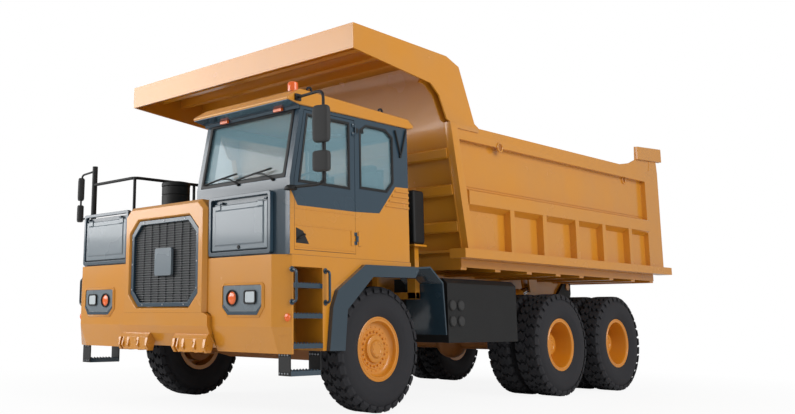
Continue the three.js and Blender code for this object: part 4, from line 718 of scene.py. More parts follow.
# ---------------------------------------------------------------- nose
@dataclass
class Nose:
    """The grille, hatches, lamps and their housings.

    Attributes:
        face: The nose's front plane, behind the front axle.
        hood_face: The hood's front plane.
        fold: Height of the fold along the bumper.
        slats: Louvres in the grille.
    """

    face: float = -1680.0
    hood_face: float = -1735.0
    fold: float = 925.0
    slats: int = 36

    @staticmethod
    def octagon(x: Point, z: Point, cut: float) -> list[Point]:
        """A box's outline with its four corners cut off, as (x, z)."""
        (x0, x1), (z0, z1) = x, z
        return [(x0 + cut, z0), (x1 - cut, z0), (x1, z0 + cut), (x1, z1 - cut), (x1 - cut, z1), (x0 + cut, z1),
                (x0, z1 - cut), (x0, z0 + cut)]

    @staticmethod
    def frame_ring(shape: Shape, outer: Sequence[Point], inner: Sequence[Point], y0: float, y1: float) -> None:
        """Adds a flat frame between two like outlines, with walls on both: its section is a closed loop."""
        shape.hoops([(outer, y1), (outer, y0), (inner, y0), (inner, y1)])

    def grille(self) -> None:
        """Makes the louvres, the bars behind them and the bolted frame."""
        y = self.face
        louvres = Shape().block((-615, 615), (y + 12, y + 18), (1135, 2115))
        for z in np.linspace(1150, 2095, self.slats):
            louvres.prism("x", -612, 612, [(y - 12, z - 3), (y - 10, z + 3), (y + 13, z + 9), (y + 13, z + 3)])
        for x in np.linspace(-560, 560, 9):
            louvres.block((x - 2, x + 2), (y - 4, y + 13), (1140, 2110))
        louvres.object("grille_louvres", GRILLE, replaces=["grille"])
        rim = Shape()
        outer = self.octagon((-619, 619), (1131, 2119), 150)
        inner = self.octagon((-572, 572), (1178, 2072), 136)
        self.frame_ring(rim, outer, inner, y - 34, y + 8)
        rim.object("grille_frame", SLATE, 5)
        bolts = Shape()
        for x, z in [(-380, 2096), (0, 2096), (380, 2096), (-380, 1154), (0, 1154), (380, 1154),
                     *[(s * 596, z) for s in (-1, 1) for z in (1330, 1620, 1910)]]:
            profile = [(0, -40), (8, -40), (11, -36), (11, -30), (0, -30)]
            bolts.turned(profile, at(x, y, z), 8, "y")
        bolts.object("grille_bolts", ZINC)
        plate = Shape().prism("y", y - 46, y - 10, self.octagon((-155, 155), (1475, 1787), 18))
        plate.object("badge_plate_blank", PANEL_GREY, 6)

    def hood(self) -> None:
        """Makes the hood's surround: six eight-sided loops joined into a ring, chamfered outside and inside."""
        back = (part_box("hood_surround")[1][1] - AXLE_Y) / MM
        outer = np.array([(-731, 1065), (731, 1065), (745, 1079), (745, 2190), (640, 2290), (-640, 2290),
                          (-745, 2190), (-745, 1079)], float)
        inner = np.array(self.octagon((-620, 620), (1130, 2120), 150), float)
        y = self.hood_face
        facing = mitred(outer, -38)
        foot = outer[:, 1] < 1100  # the lower corners keep their height, so that the foot has no chamfer
        facing[foot, 1] = outer[foot, 1]
        ring = Shape().hoops([(outer, back), (outer, y + 44), (facing, y), (mitred(inner, 20), y), (inner, y + 40),
                              (inner, back)])
        ring.object("hood_ring", YELLOW, 6, replaces=["hood_surround"])

    def bumper(self) -> None:
        """Makes the bumper with a fold along its front, the sloping valance under it and the tow brackets' plates."""

        def folded(points: np.ndarray) -> np.ndarray:
            """Leans the front of the panel back, as a copy: the shift grows evenly with the depth below the fold."""
            y, z = (points[:, 1] - AXLE_Y) / MM, points[:, 2] / MM
            low = np.clip((self.fold - z) / 85.0, 0.0, 1.0) * (z > 835.0) * (y < -1700.0)
            moved = points.copy()
            moved[:, 1] += 40 * MM * low
            return moved

        finer("front_bumper", YELLOW, 6, folded, self.fold)
        valance = Shape().prism("x", -800, 800, [(-1698, 846), (-1592, 700), (-1578, 700), (-1680, 846)])
        valance.object("bumper_valance", YELLOW, 3)
        lugs = Shape()
        for x in (-510.0, 510.0):
            lugs.prism("x", x - 200, x - 178, [(-1735, 800), (-1760, 700), (-1720, 645), (-1660, 645), (-1610, 800)])
            lugs.block((x - 178, x + 242), (-1738, -1722), (652, 796))
            lugs.turned([(0, -20), (20, -20), (27, -13), (27, 2), (0, 2)], at(x + 70, -1738, 738), 24, "y")
        lugs.object("tow_lug_plates", YELLOW, 3)

    def hatch(self, side: str, way: float) -> None:
        """Makes one hatch lid, the frame round it and its latch.

        Args:
            side: "left" or "right".
            way: 1 on the left, -1 on the right.
        """
        y = self.face
        node = f"nose_hatch_{side}"
        front, back = ((corner[1] - AXLE_Y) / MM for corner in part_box(node))
        x0, x1 = span(way, 800, 1665)
        edge = np.array([(x0, 1705), (x1, 1705), (x1, 2190), (x0, 2190)], float)
        lid = Shape()
        rungs = [(0, back), (0, front + 10), (-8, front + 2), (-52, front + 2), (-66, front - 8)]
        lid.hoops([(mitred(edge, move), deep) for move, deep in rungs], ring=False)
        for x in (900.0, 1560.0):
            lid.block(span(way, x - 42, x + 42), (front - 8, front + 4), (2140, 2188))
            lid.turned([(0, -42), (8, -42), (8, 42), (0, 42)], at(way * x, front - 3, 2194), 16, "x")
        lid.object(f"{node}_lid", PANEL_GREY, 3, body=BODY_OF[node], replaces=[node])
        surround = Shape()
        outer = self.octagon(span(way, 752, 1712), (1650, 2286), 20)
        inner = self.octagon(span(way, 790, 1675), (1694, 2250), 14)
        self.frame_ring(surround, outer, inner, y - 8, y + 40)
        surround.object(f"hatch_frame_{side}", SLATE, 6)
        if way > 0:
            latch = Shape().turned([(0, -10), (16, -10), (20, -4), (20, 4), (0, 4)], at(1232, y, 1735), 16, "y")
            latch.object("hatch_latch", BLACK, body="hatch_left")

    def lamps(self, side: str, way: float) -> None:
        """Makes one lamp housing with its round and square lamps; the arguments are those of hatch()."""
        y = self.face
        foot = [(1012, 1118), (1096, 1042), (1536, 1042), (1601, 1126)]
        plate = [*foot, (1601, 1326), (1586, 1341), (1027, 1341), (1012, 1326)]
        outline = np.array([(way * x, z) for x, z in plate], float)
        Shape().prism("y", y - 14, y + 6, outline).object(f"lamp_housing_{side}", PANEL_GREY, 5)
        lip = [*foot, (1601, 1150), (1524, 1078), (1108, 1078), (1012, 1146)]
        Shape().prism("y", y - 24, y + 2, [(way * x, z) for x, z in lip]).object(f"lamp_lower_lip_{side}", SLATE, 4)
        wide, slim = mitred(outline, 26.0), mitred(outline, 1.0)
        edge = Shape().hoops([(wide, y + 4), (wide, y - 6), (slim, y - 24), (slim, y + 4)])
        edge.object(f"lamp_surround_{side}", YELLOW, 3)
        centre = at(way * 1160, y - 16, 1213)
        bezel = Shape().turned([(64, 0), (82, -2), (86, -12), (78, -20), (70, -14), (64, 0)], centre, 40, "y")
        square = self.octagon(span(way, 1347, 1524), (1150, 1290), 20)
        hole = self.octagon(span(way, 1362, 1509), (1164, 1276), 14)
        self.frame_ring(bezel, square, hole, y - 34, y - 16)
        bezel.object(f"lamp_bezels_{side}", BLACK, 3)
        amber = Shape().turned([(0, -18), (30, -16), (56, -10), (66, -2), (66, 2), (0, 2)], centre, 40, "y")
        amber.object(f"indicator_lens_{side}", AMBER)
        Shape().prism("y", y - 28, y - 15, hole).object(f"headlamp_lens_{side}", LENS, 6)

    def build(self) -> None:
        """Makes the whole nose."""
        self.hood()
        self.bumper()
        self.grille()
        for side, way in SIDES.items():
            self.hatch(side, way)
            self.lamps(side, way)


# ---------------------------------------------------------------- corners, steps and handles
@dataclass
class Corner:
    """A lower corner of the nose with its ladder, hanging step and grab handles.

    Attributes:
        side: "left" or "right".
        way: 1 on the left, -1 on the right.
        face: The nose's front plane.
        break_z: Height below which the panel slopes in.
        slope: How far it slopes in by its lower edge.
        front: Front of the ladder recess.
        rear: Its rear.
        treads: Heights of the treads.
    """

    side: str
    way: float
    face: float = -1680.0
    break_z: float = 925.0
    slope: float = 96.0
    front: float = -1534.0
    rear: float = -1114.0
    treads: tuple[float, ...] = (742.0, 1035.0, 1335.0)

    def sloped(self, points: np.ndarray) -> np.ndarray:
        """Leans the panel in below its break: the shift grows evenly downwards and fades out behind the bevel.

        Args:
            points: Vertices in metres.

        Returns:
            The moved vertices.
        """
        y, z = (points[:, 1] - AXLE_Y) / MM, points[:, 2] / MM
        low = np.clip((self.break_z - z) / (self.break_z - 690.0), 0.0, 1.0)
        ahead = np.clip((-1548.0 - y) / (-1548.0 - self.face), 0.0, 1.0)
        moved = points.copy()
        moved[:, 1] += self.slope * MM * low * ahead
        return moved

    def tread(self, shape: Shape, x: Point, z: float, thick: float) -> None:
        """Adds a folded tread whose front edges stand up in teeth.

        Args:
            shape: Where it is added.
            x: Its inner and outer distance from the middle.
            z: Its middle height.
            thick: Half its depth.
        """
        shape.block(span(self.way, *x), (self.front - 3, self.rear + 3), (z - thick, z + thick))
        top = z + thick
        for row in (x[1] - 6, (x[0] + x[1]) / 2, x[0] + 6):
            for y in np.arange(self.front + 12, self.rear - 20, 44):
                tooth = [(y, top), (y + 26, top), (y + 20, top + 9), (y + 6, top + 9)]
                shape.prism("x", *span(self.way, row - 4, row + 4), tooth)

    def ladder(self) -> None:
        """Makes the treads, the hanging step's belts and their bolts."""
        steps = Shape()
        for z in self.treads:
            self.tread(steps, (1526, 1887), z, 24)
        self.tread(steps, (1688, 1853), 477, 25)
        steps.object(f"step_treads_{self.side}", SLATE, 3, slot="black_paint")
        belts, bolts = Shape(), Shape()
        for y in (self.front - 14, self.rear - 2):
            belts.block(span(self.way, 1688, 1852), (y, y + 16), (453, 688))
            for x in (1712, 1748, 1786, 1826):
                for z in (478, 655):
                    bolts.turned([(0, -12), (8, -12), (11, -8), (11, 0), (0, 0)], at(self.way * x, y, z), 6, "y")
        belts.object(f"step_belts_{self.side}", SEAL, 3)
        bolts.object(f"step_bolts_{self.side}", ZINC)

    def handles(self) -> None:
        """Makes the two grab handles beside the recess, with bolted feet."""
        handles = Shape()
        for y in (-1556.0, -1072.0):
            out = self.way * 1948
            path = [(self.way * 1876, y, 1170), (out, y, 1174), (out, y, 1486), (self.way * 1876, y, 1490)]
            handles.tube(path, 14, 12, 34)
            for z in (1170, 1490):
                foot = [(0, 10), (30, 10), (30, -2), (0, -2)]
                handles.turned(foot, at(self.way * 1884, y, z), 16, "x", self.way)
        handles.object(f"grab_handles_{self.side}", SLATE, 2, slot="black_paint")

    def build(self) -> None:
        """Makes the whole corner."""
        finer(f"front_corner_{self.side}", YELLOW, 6, self.sloped, self.break_z)
        finer(f"fender_{self.side}", FENDER, 18)
        self.ladder()
        self.handles()
        dome = [(0, -16), (20, -14), (36, -6), (40, 6), (0, 12)]
        # The amber dome glows faintly: painted light, as it is a reflector and no lamp.
        Shape().turned(dome, at(self.way * 1850, -1588, 1020), 32, "y").object(f"corner_reflector_{self.side}", AMBER)


# ---------------------------------------------------------------- cab
@dataclass
class Cab:
    """The cab's second colour, seals, louvres, handles, wipers and lamps.

    Attributes:
        side: The outer face of its left wall.
        skin: Thickness that the second colour stands proud.
        front: Its front face at the waist.
        waist: Height where the screen starts to lean.
        top: Height of the pillars' tops.
        lean: How far the pillars lean back by their tops.
    """

    side: float = 1886.0
    skin: float = 3.0
    front: float = -1585.0
    waist: float = 2404.0
    top: float = 3177.0
    lean: float = 157.0

    def on_side(self, u: float, v: float, out: float) -> tuple[float, float, float]:
        """A place on the left wall from its (y, z) and how far it stands out."""
        return (self.side + out, u, v)

    def on_screen(self, u: float, v: float, out: float) -> tuple[float, float, float]:
        """A place on the windscreen's leaning plane from its (x, z) and how far it stands out."""
        return (u, self.front + self.lean * max(0.0, v - self.waist) / (self.top - self.waist) - out, v)

    @staticmethod
    def seal(shape: Shape, outline: Sequence[Point], place: Callable[..., Point], wide: float = 14.0,
             lap: float = 16.0, high: float = 9.0) -> None:
        """Adds a window seal: five mitred copies of the outline joined into a ring with a crowned section.

        Args:
            shape: Where it is added.
            outline: The window's corners.
            place: What puts two outline values and a height on the truck.
            wide: How far it laps over the panel.
            lap: How far it laps over the glass.
            high: How far it stands out.
        """
        flat = np.array(outline, float)
        rungs = [(wide, -2.0), (wide, 0.6 * high), (0.3 * wide, high), (-0.6 * lap, 0.7 * high), (-lap, -2.0)]
        net = np.stack([[at(*place(u, v, out)) for u, v in mitred(flat, move)] for move, out in rungs])
        shape.grid(net, round_u=True, round_v=True)

    def second_colour(self) -> None:
        """Makes the yellow lower skins of the door and of the wall behind and ahead of it."""
        out = (self.side - 1, self.side + self.skin)
        door = Shape().prism("x", *out, [(-1518, 1690), (-598, 1690), (-598, 2138), (-1476, 2135), (-1518, 2202)])
        for z in (1712, 1930, 2098):
            door.prism("x", self.side, self.side + 7, [(-1500, z), (-616, z), (-616, z + 14), (-1500, z + 14)])
        door.object("door_lower_skin", YELLOW, 2, body="cab_door")
        behind = [(-594, 1640), (327, 1640), (327, 2484), (98, 2477), (-192, 2155), (-594, 2138)]
        wall = Shape().prism("x", *out, behind)
        wall.prism("x", *out, [(-1583, 1640), (-1522, 1640), (-1522, 2208), (-1583, 2300)])
        wall.prism("x", *out, [(-1522, 1640), (-594, 1640), (-594, 1686), (-1522, 1686)])
        wall.object("cab_lower_skin", YELLOW, 2)

    def trim(self) -> None:
        """Makes the louvres behind the door, the strap tube, and the door's handle, bars and hinges."""
        louvres = Shape()
        for front, z in ((-90, 2240), (-36, 2300), (18, 2360), (72, 2420)):
            louvres.prism("x", self.side, self.side + 16, [(front, z), (325, z), (325, z + 26), (front + 23, z + 26)])
        louvres.object("cab_louvres", YELLOW, 5)
        out = self.side + 14
        strap = Shape().tube([(out, 98, 3130), (out, 193, 2834), (out, 300, 3159)], 10, 10, 60)
        strap.turned([(0, -10), (20, -10), (20, 14), (0, 14)], at(self.side, 193, 2840), 16)
        strap.prism("x", self.side - 2, self.side + 12, [(-500, 3010), (-452, 3010), (-452, 3052), (-500, 3052)])
        strap.object("cab_strap", BLACK, 1)
        for piece, body, y in [("door_hinge_leaf", "cab_door", -672), ("wall_hinge_leaf", "chassis", -556)]:
            leaf = Shape().block((self.side + 2, self.side + 12), (y, y + 48), (1772, 1932))
            leaf.object(piece, YELLOW, 4, body=body)
        recess = [(-1499, 1909), (-1400, 1880), (-1312, 1752), (-1499, 1755)]
        handle = Shape().prism("x", self.side, self.side + 6, recess)
        handle.block((self.side, self.side + 16), (-600, -540), (3006, 3056))
        handle.block((self.side - 6, self.side + 8), (-1082, -1052), (2372, 3104))
        handle.object("door_handle_recess", SEAL, 2, body="cab_door")
        path = [(1893, -1480, 1796), (1912, -1468, 1804), (1912, -1392, 1838), (1893, -1380, 1846)]
        grip = Shape().tube(path, 11, 12, 12)
        grip.object("door_grip", BLACK, body="cab_door")

    def windows(self) -> None:
        """Makes the seals of every window."""
        door = Shape()
        self.seal(door, [(-1448, 2385), (-690, 2385), (-690, 3090), (-1330, 3090)], self.on_side)
        door.object("door_window_seal", SEAL, body="cab_door")
        fixed = Shape()
        rear_side = [(-500, 2410), (-60, 2410), (50, 2520), (50, 3030), (-70, 3105), (-400, 3105), (-500, 3040)]
        self.seal(fixed, rear_side, self.on_side)
        screen = [(512, 2440), (1794, 2440), (1794, 3132), (512, 3132)]
        self.seal(fixed, screen, self.on_screen, 22, 20, 12)
        self.seal(fixed, [(600, 2450), (1700, 2450), (1700, 3080), (600, 3080)], lambda u, v, out: (u, 329 + out, v))
        right = [(-1390, 2410), (180, 2410), (180, 3090), (-1390, 3090)]
        self.seal(fixed, right, lambda u, v, out: (420 - out, u, v))
        fixed.object("cab_window_seals", SEAL)

    def wipers(self) -> None:
        """Makes two wipers: an arm from each pivot and a blade along the screen's foot."""
        shape = Shape()
        for x in (1120.0, 1650.0):
            pivot = self.on_screen(x, 2412, 22)
            elbow = self.on_screen(x - 120, 2478, 44)
            tip = self.on_screen(x - 290, 2496, 26)
            shape.tube([self.on_screen(x, 2404, 0), pivot], 16, 12)
            shape.tube([pivot, elbow, tip], 8, 8, 30)
            shape.tube([self.on_screen(x - 560, 2456, 18), tip, self.on_screen(x - 40, 2530, 18)], 10, 6)
        shape.object("wipers", BLACK)

    def lamps(self) -> None:
        """Makes the marker lamps under the visor, the beacon and fittings on the roof, and a slate sheet of painted
        shade under the visor.
        """
        lamps, foot = Shape(), at(1700, -1350, 3338)
        for x in (760.0, 1614.0):
            lamps.block((x - 62, x + 62), (-1500, -1470), (3140, 3172))
        lamps.turned([(0, 24), (56, 24), (56, 108), (52, 122), (40, 130), (0, 132)], foot, 32, "z")
        lamps.object("cab_marker_lamps", AMBER, 4)
        base = Shape().turned([(0, 0), (72, 0), (72, 18), (60, 26), (0, 26)], foot, 32, "z")
        for y in (-1206.0, -37.0):
            high = 3372 - 0.04 * (y + 900)
            base.turned([(22, -9), (42, -9), (42, 9), (22, 9), (22, -9)], at(1800, y, high), 24, "x")
            base.block((1791, 1809), (y - 30, y + 30), (high - 64, high - 34))
        # The slate sheet under the roof's visor is painted shade: it darkens the yellow underside of the visor.
        lining = [(-1632, 3204), (-1462, 3176), (-1452, 3140), (-1462, 3140), (-1470, 3168), (-1632, 3196)]
        Shape().prism("x", 404, 1902, lining).object("visor_lining", SLATE, 2)
        base.object("roof_fittings", BLACK, 2)

    def build(self) -> None:
        """Makes all of the cab's finish."""
        finer("cab_body", SLATE, 8)
        finer("cab_door", SLATE, 5)
        finer("cab_roof", YELLOW, 14)
        self.second_colour()
        self.trim()
        self.windows()
        self.wipers()
        self.lamps()


def sphere(rows: int, columns: int) -> list[np.ndarray]:
    """The latitudes and longitudes of a net over a sphere, in radians, as two arrays of rows by columns."""
    round_it = np.linspace(-math.pi, math.pi, columns, False)
    return np.meshgrid(np.linspace(-math.pi / 2, math.pi / 2, rows), round_it, indexing="ij")


def squared(value: np.ndarray, power: float) -> np.ndarray:
    """Sines or cosines raised to a power with their signs kept: the lower it is, the flatter the faces."""
    return np.sign(value) * np.abs(value) ** power


@dataclass
class Seats:
    """Two upholstered seats on a plinth.

    Attributes:
        places: Their middles across the truck.
        half: Half the width of a seat.
        channels: Sewn channels across each cushion.
    """

    places: tuple[float, float] = (720.0, 1480.0)
    half: float = 236.0
    channels: int = 5

    def cushion(self, name: str, centre: Point, size: Point, lean: float) -> None:
        """Makes one stuffed cushion with sewn channels.

        Its surface is a squared sphere: each of the sphere's sines and cosines is raised to a low power, which
        flattens the faces and rounds the edges. The thickness then swells towards the middle and dips at each seam.

        Args:
            name: The piece's name.
            centre: Its middle in truck millimetres.
            size: Its half width, half length and half thickness.
            lean: How far it is turned about the truck's width, in radians.
        """
        across, round_it = sphere(25, 64)
        x = squared(np.sin(across), 0.35)
        y = squared(np.cos(across), 0.35) * squared(np.cos(round_it), 0.35)
        z = squared(np.cos(across), 0.35) * squared(np.sin(round_it), 0.35)
        seam = np.abs(np.sin(math.pi * self.channels * (y + 1) / 2)) ** 0.5
        crown = 0.72 + 0.16 * (1 - x ** 2) * (1 - y ** 2) + 0.12 * seam
        local = np.stack([x * size[0], y * size[1], z * size[2] * crown], -1)
        turn = np.array([[1, 0, 0], [0, math.cos(lean), -math.sin(lean)], [0, math.sin(lean), math.cos(lean)]])
        shape = Shape().grid(local @ turn.T * MM + at(*centre), round_v=True)
        piece = shape.object(name, CLOTH, body=BODY_OF["cab_seats"])
        smooth = piece.modifiers.new("stuffing", "SUBSURF")
        smooth.levels = smooth.render_levels = 1

    def build(self) -> None:
        """Makes the plinth, the cushions, the backs and the headrests."""
        plinth = Shape().block((562, 1738), (-418, 58), (1690, 1896))
        for x in self.places:
            plinth.block((x - 210, x + 210), (96, 140), (1896, 2700))
        plinth.object("seat_plinth", PLASTIC, 8, body=BODY_OF["cab_seats"], replaces=["cab_seats"])
        for number, x in enumerate(self.places, 1):
            self.cushion(f"seat_{number}_cushion", (x, -270, 2010), (self.half, 286, 112), 0.04)
            self.cushion(f"seat_{number}_back", (x, 62, 2380), (self.half - 14, 300, 84), 1.50)
            self.cushion(f"seat_{number}_headrest", (x, 84, 2706), (130, 56, 60), 1.50)


@dataclass
class Mirrors:
    """The mirror arms and their rounded heads."""

    @staticmethod
    def head(shape: Shape, glass: Shape, centre: Point, half: Point, yaw: float) -> None:
        """Adds one mirror head, a squared sphere as for the cushions but with sharper faces, and its glass.

        Args:
            shape: Where the head is added.
            glass: Where its glass is added.
            centre: Its middle in truck millimetres.
            half: Its half width, depth and height.
            yaw: How far its glass turns from straight back towards the truck's left, in radians.
        """
        tall, wide = sphere(17, 40)
        lift, ring = squared(np.sin(tall), 0.3), squared(np.cos(tall), 0.3)
        x, y = ring * squared(np.cos(wide), 0.35), ring * squared(np.sin(wide), 0.7)
        turn = np.array([[math.cos(yaw), math.sin(yaw), 0], [-math.sin(yaw), math.cos(yaw), 0], [0, 0, 1]])
        body = np.stack([x * half[0], y * half[1], lift * half[2]], -1)
        shape.grid(body @ turn.T * MM + at(*centre), round_v=True)
        corners = np.array([(sx * 0.8 * half[0], half[1] - 3 + deep, sz * 0.86 * half[2])
                            for deep in (0, 4) for sx, sz in [(-1, -1), (1, -1), (1, 1), (-1, 1)]])
        pane = (corners @ turn.T * MM + at(*centre)).reshape(2, 4, 3)
        glass.grid(pane, round_v=True, ends=True)

    def build(self) -> None:
        """Makes the arms, the heads and their glass."""
        path = [(1924, -1500, 3240), (2310, -1540, 3240), (2310, -1540, 2300), (1916, -1600, 2300)]
        left = Shape().tube(path, 15, 14, 90)
        left.block((1911.5, 1932), (-1540, -1460), (3206, 3274))
        left.turned([(0, 34), (40, 30), (62, 12), (66, -14), (0, -14)], at(1916, -1600, 2290), 28, "z")
        right = Shape().tube([(-1830, -1480, 2240.3), (-1830, -1480, 2960)], 35, 20)
        path = [(-1830, -1480, 2900), (-2275, -1400, 2900), (-2275, -1400, 2300), (-1830, -1480, 2300)]
        right.tube(path, 13, 14, 80)
        for side, x, y, arm, spans, half, yaw in [
            ("left", 2306.0, -1566.0, left, [(2710, 3080), (2420, 2625)], 92.0, -0.28),
            ("right", -2282.0, -1400.0, right, [(2560, 2860), (2270, 2490)], 104.0, 0.55),
        ]:
            heads, glass = Shape(), Shape()
            for low, high in spans:
                self.head(heads, glass, (x, y, (low + high) / 2), (half, 44, (high - low) / 2), yaw)
            body = BODY_OF[f"mirrors_{side}"]
            arm.object(f"mirror_arms_{side}", BLACK, body=body, replaces=[f"mirrors_{side}"])
            heads.object(f"mirror_heads_{side}", PLASTIC, body=body)
            glass.object(f"mirror_glass_{side}", MIRROR, body=body)


# ---------------------------------------------------------------- deck, bed and frame fittings
@dataclass
class Fittings:
    """What is fixed on: handrail, air cleaner, the box behind the cab, cabinet caps and the bed's plates and ribs.

    Attributes:
        deck_top: The deck's height.
        rail: Height of the handrail.
    """

    deck_top: float = 2240.3
    rail: float = 2712.0

    def deck(self) -> None:
        """Makes the handrail and the air cleaner."""
        z, foot = self.rail, self.deck_top
        rail = Shape().tube([(-1790, -1500, z), (-900, -1500, z), (-800, 290, z), (-800, 290, foot)], 19, 16, 90)
        for x, y in [(-900, -1500), (-849.7, -600)]:
            rail.tube([(x, y, foot), (x, y, z)], 19, 16)
        for x, y in [(-900, -1500), (-849.7, -600), (-800, 290)]:
            rail.turned([(0, 0), (44, 0), (44, 8), (0, 8)], at(x, y, foot), 16, "z")
        rail.object("handrail_tubes", BLACK, replaces=["deck_handrail"])
        drum = [(0, 0), (150, 0), (164, 10), (168, 24), (168, 60), (163, 66), (168, 72), (168, 200), (163, 206),
                (168, 212), (168, 300), (164, 306), (172, 312), (172, 344), (164, 356), (100, 369), (0, 370)]
        Shape().turned(drum, at(-290, -1330, foot), 56, "z").object("air_cleaner_drum", BLACK, replaces=["air_cleaner"])

    def behind_cab(self) -> None:
        """Makes the black box behind the cab on its bracket, and the caps on the left cabinet."""
        Shape().block((1385, 1615), (780, 1000), (1895, 2545)).object("rear_box", BLACK, 34)
        arm = Shape().block((488, 1560), (850, 930), (1250, 1328)).block((1440, 1560), (850, 930), (1250, 1900))
        arm.block((1375, 1625), (770, 1010), (1868, 1893))
        arm.object("rear_box_bracket", YELLOW, 4)
        caps = Shape()
        for y in (1235.0, 1405.0):
            for z in (991.0, 1178.0):
                out = reach_of("side_tank_left", y, z)
                caps.turned([(0, 0), (62, 0), (62, 14), (52, 26), (0, 30)], at(out - 2, y, z), 28)
        caps.object("cabinet_caps", PLASTIC, 2)

    @staticmethod
    def wall(z: float) -> float:
        """Where the bed's front wall is at a height: it leans forwards from (1343, 1850) to (1047, 3324)."""
        return 1343 - (z - 1850) * 296 / 1474

    def bed(self) -> None:
        """Makes the bed's side bands, seam lines, closing plates, rear gussets, lifting rings, each round a hole drawn
        as a darker disc of painted shade, and front ribs.
        """
        for side, way in SIDES.items():
            band = Shape()
            section = [(1892, 2318), (1990, 2382), (2004, 2392), (2004, 2554), (1994, 2566), (1892, 2566)]
            band.prism("y", 1378, 6256, [(way * x, z) for x, z in section])
            for z in (2592, 2622):
                line = [(1903, z - 5), (1912, z - 4), (1912, z + 4), (1903, z + 5)]
                band.prism("y", 1330, 6254, [(way * x, high) for x, high in line])
            band.object(f"bed_side_band_{side}", YELLOW, 3, body="bed")
            plate = Shape().block(span(way, 1801, 1811), (1440, 6700), (1640, 1738))
            plate.object(f"bed_closing_plate_{side}", YELLOW, 2, body="bed")
            gusset = Shape()
            rise = [(5260, 3334), (5760, 3420), (5980, 3500), (6000, 3712), (6840, 3770), (6840, 3548),
                    (6716, 3540), (6716, 3334)]
            gusset.prism("x", *span(way, 1952, 1972), rise)
            gusset.prism("x", *span(way, 1972, 2010), [(6000, 3506), (6840, 3552), (6840, 3766), (6000, 3708)])
            gusset.object(f"bed_rear_gusset_{side}", YELLOW, 5, body="bed")
            rings, hole_shades = Shape(), Shape()
            for y, z in [(2127.0, 3186.0), (5673.0, 3155.0)]:
                out = reach_of("dump_bed", y, z)
                ring = [(44, -4), (66, -4), (66, 12), (60, 17), (50, 17), (44, 12), (44, -4)]
                rings.turned(ring, at(way * out, y, z), 32, "x", way)
                # In each ring a darker orange disc stands where the hole is: painted shade for the hole's shaded
                # inside.
                hole_shades.turned([(0, -2), (46, -2), (46, 2), (0, 2)], at(way * out, y, z), 24, "x", way)
            rings.object(f"lifting_rings_{side}", YELLOW, body="bed")
            hole_shades.object(f"lifting_hole_shades_{side}", CAST_ORANGE, body="bed", slot="black_paint")
        ribs = Shape()
        for z in (2120.0, 2560.0, 3000.0):
            y = self.wall(z)
            ribs.prism("x", -1888, 1888, [(y + 8, z - 70), (y - 12, z - 50), (y - 28, z + 50), (y - 4, z + 70)])
        ribs.object("bed_front_ribs", YELLOW, 4, body="bed")

    def build(self) -> None:
        """Makes all the fittings."""
        self.deck()
        self.behind_cab()
        self.bed()


# ---------------------------------------------------------------- stage
@dataclass(frozen=True)
class Viewpoint:
    """Where the truck is seen from: low down, ahead and to its left.

    Attributes:
        place: The camera in truck millimetres.
        yaw: Its turn from straight back, in radians.
        pitch: How far it looks up.
        roll: Its lean.
        lens: Focal length in millimetres.
        sensor: Width of the sensor.
        shift: How far the frame is moved off the axis, so that the whole truck is in it.
    """

    place: tuple[float, float, float] = (8330.9, -8038.5, 1001.3)
    yaw: float = 0.829
    pitch: float = 0.177
    roll: float = 0.007
    lens: float = 41.56
    sensor: float = 36.0
    shift: tuple[float, float] = (0.186, -0.0656)

    def build(self) -> None:
        """Makes the camera: its axes come from the yaw and pitch, and the roll then turns two of them."""
        forward = np.array([
            -math.sin(self.yaw) * math.cos(self.pitch), math.cos(self.yaw) * math.cos(self.pitch), math.sin(self.pitch),
        ])
        level = np.array([math.cos(self.yaw), math.sin(self.yaw), 0.0])
        upright = np.cross(level, forward)
        right = math.cos(self.roll) * level + math.sin(self.roll) * upright
        up = -math.sin(self.roll) * level + math.cos(self.roll) * upright
        data = bpy.data.cameras.new("camera")
        data.lens = self.lens
        data.sensor_width = self.sensor
        data.shift_x, data.shift_y = self.shift
        data.clip_end = 500.0
        camera = placed("camera", data)
        turn = np.eye(4)
        turn[:3, :3] = np.column_stack([right, up, -forward])
        turn[:3, 3] = at(*self.place)
        camera.matrix_world = Matrix(turn.tolist())
        bpy.context.scene.camera = camera


@dataclass(frozen=True)
class Lamp:
    """A soft lamp.

    Attributes:
        name: Its name.
        place: Where it stands, in metres.
        size: Its width and height in metres.
        power: Its power in watts.
    """

    name: str
    place: tuple[float, float, float]
    size: tuple[float, float]
    power: float

    def build(self) -> None:
        """Makes the lamp, facing the middle of the truck."""
        data = bpy.data.lights.new(self.name, "AREA")
        data.shape = "RECTANGLE"
        data.size, data.size_y = self.size
        data.energy = self.power
        lamp = placed(self.name, data)
        lamp.location = self.place
        lamp.rotation_euler = (Vector(AIM) - Vector(self.place)).to_track_quat("-Z", "Y").to_euler()


AIM = (0.0, 0.0, 1.6)  # the middle of the truck, in metres
FILL = 0.42  # strength of the surroundings for light that the camera doesn't see
LAMPS = [
    Lamp("front_softbox", (-9.0, -13.0, 6.0), (14.0, 6.0), 1280.0),
    Lamp("side_softbox", (14.0, -1.0, 8.0), (10.0, 8.0), 1050.0),
]


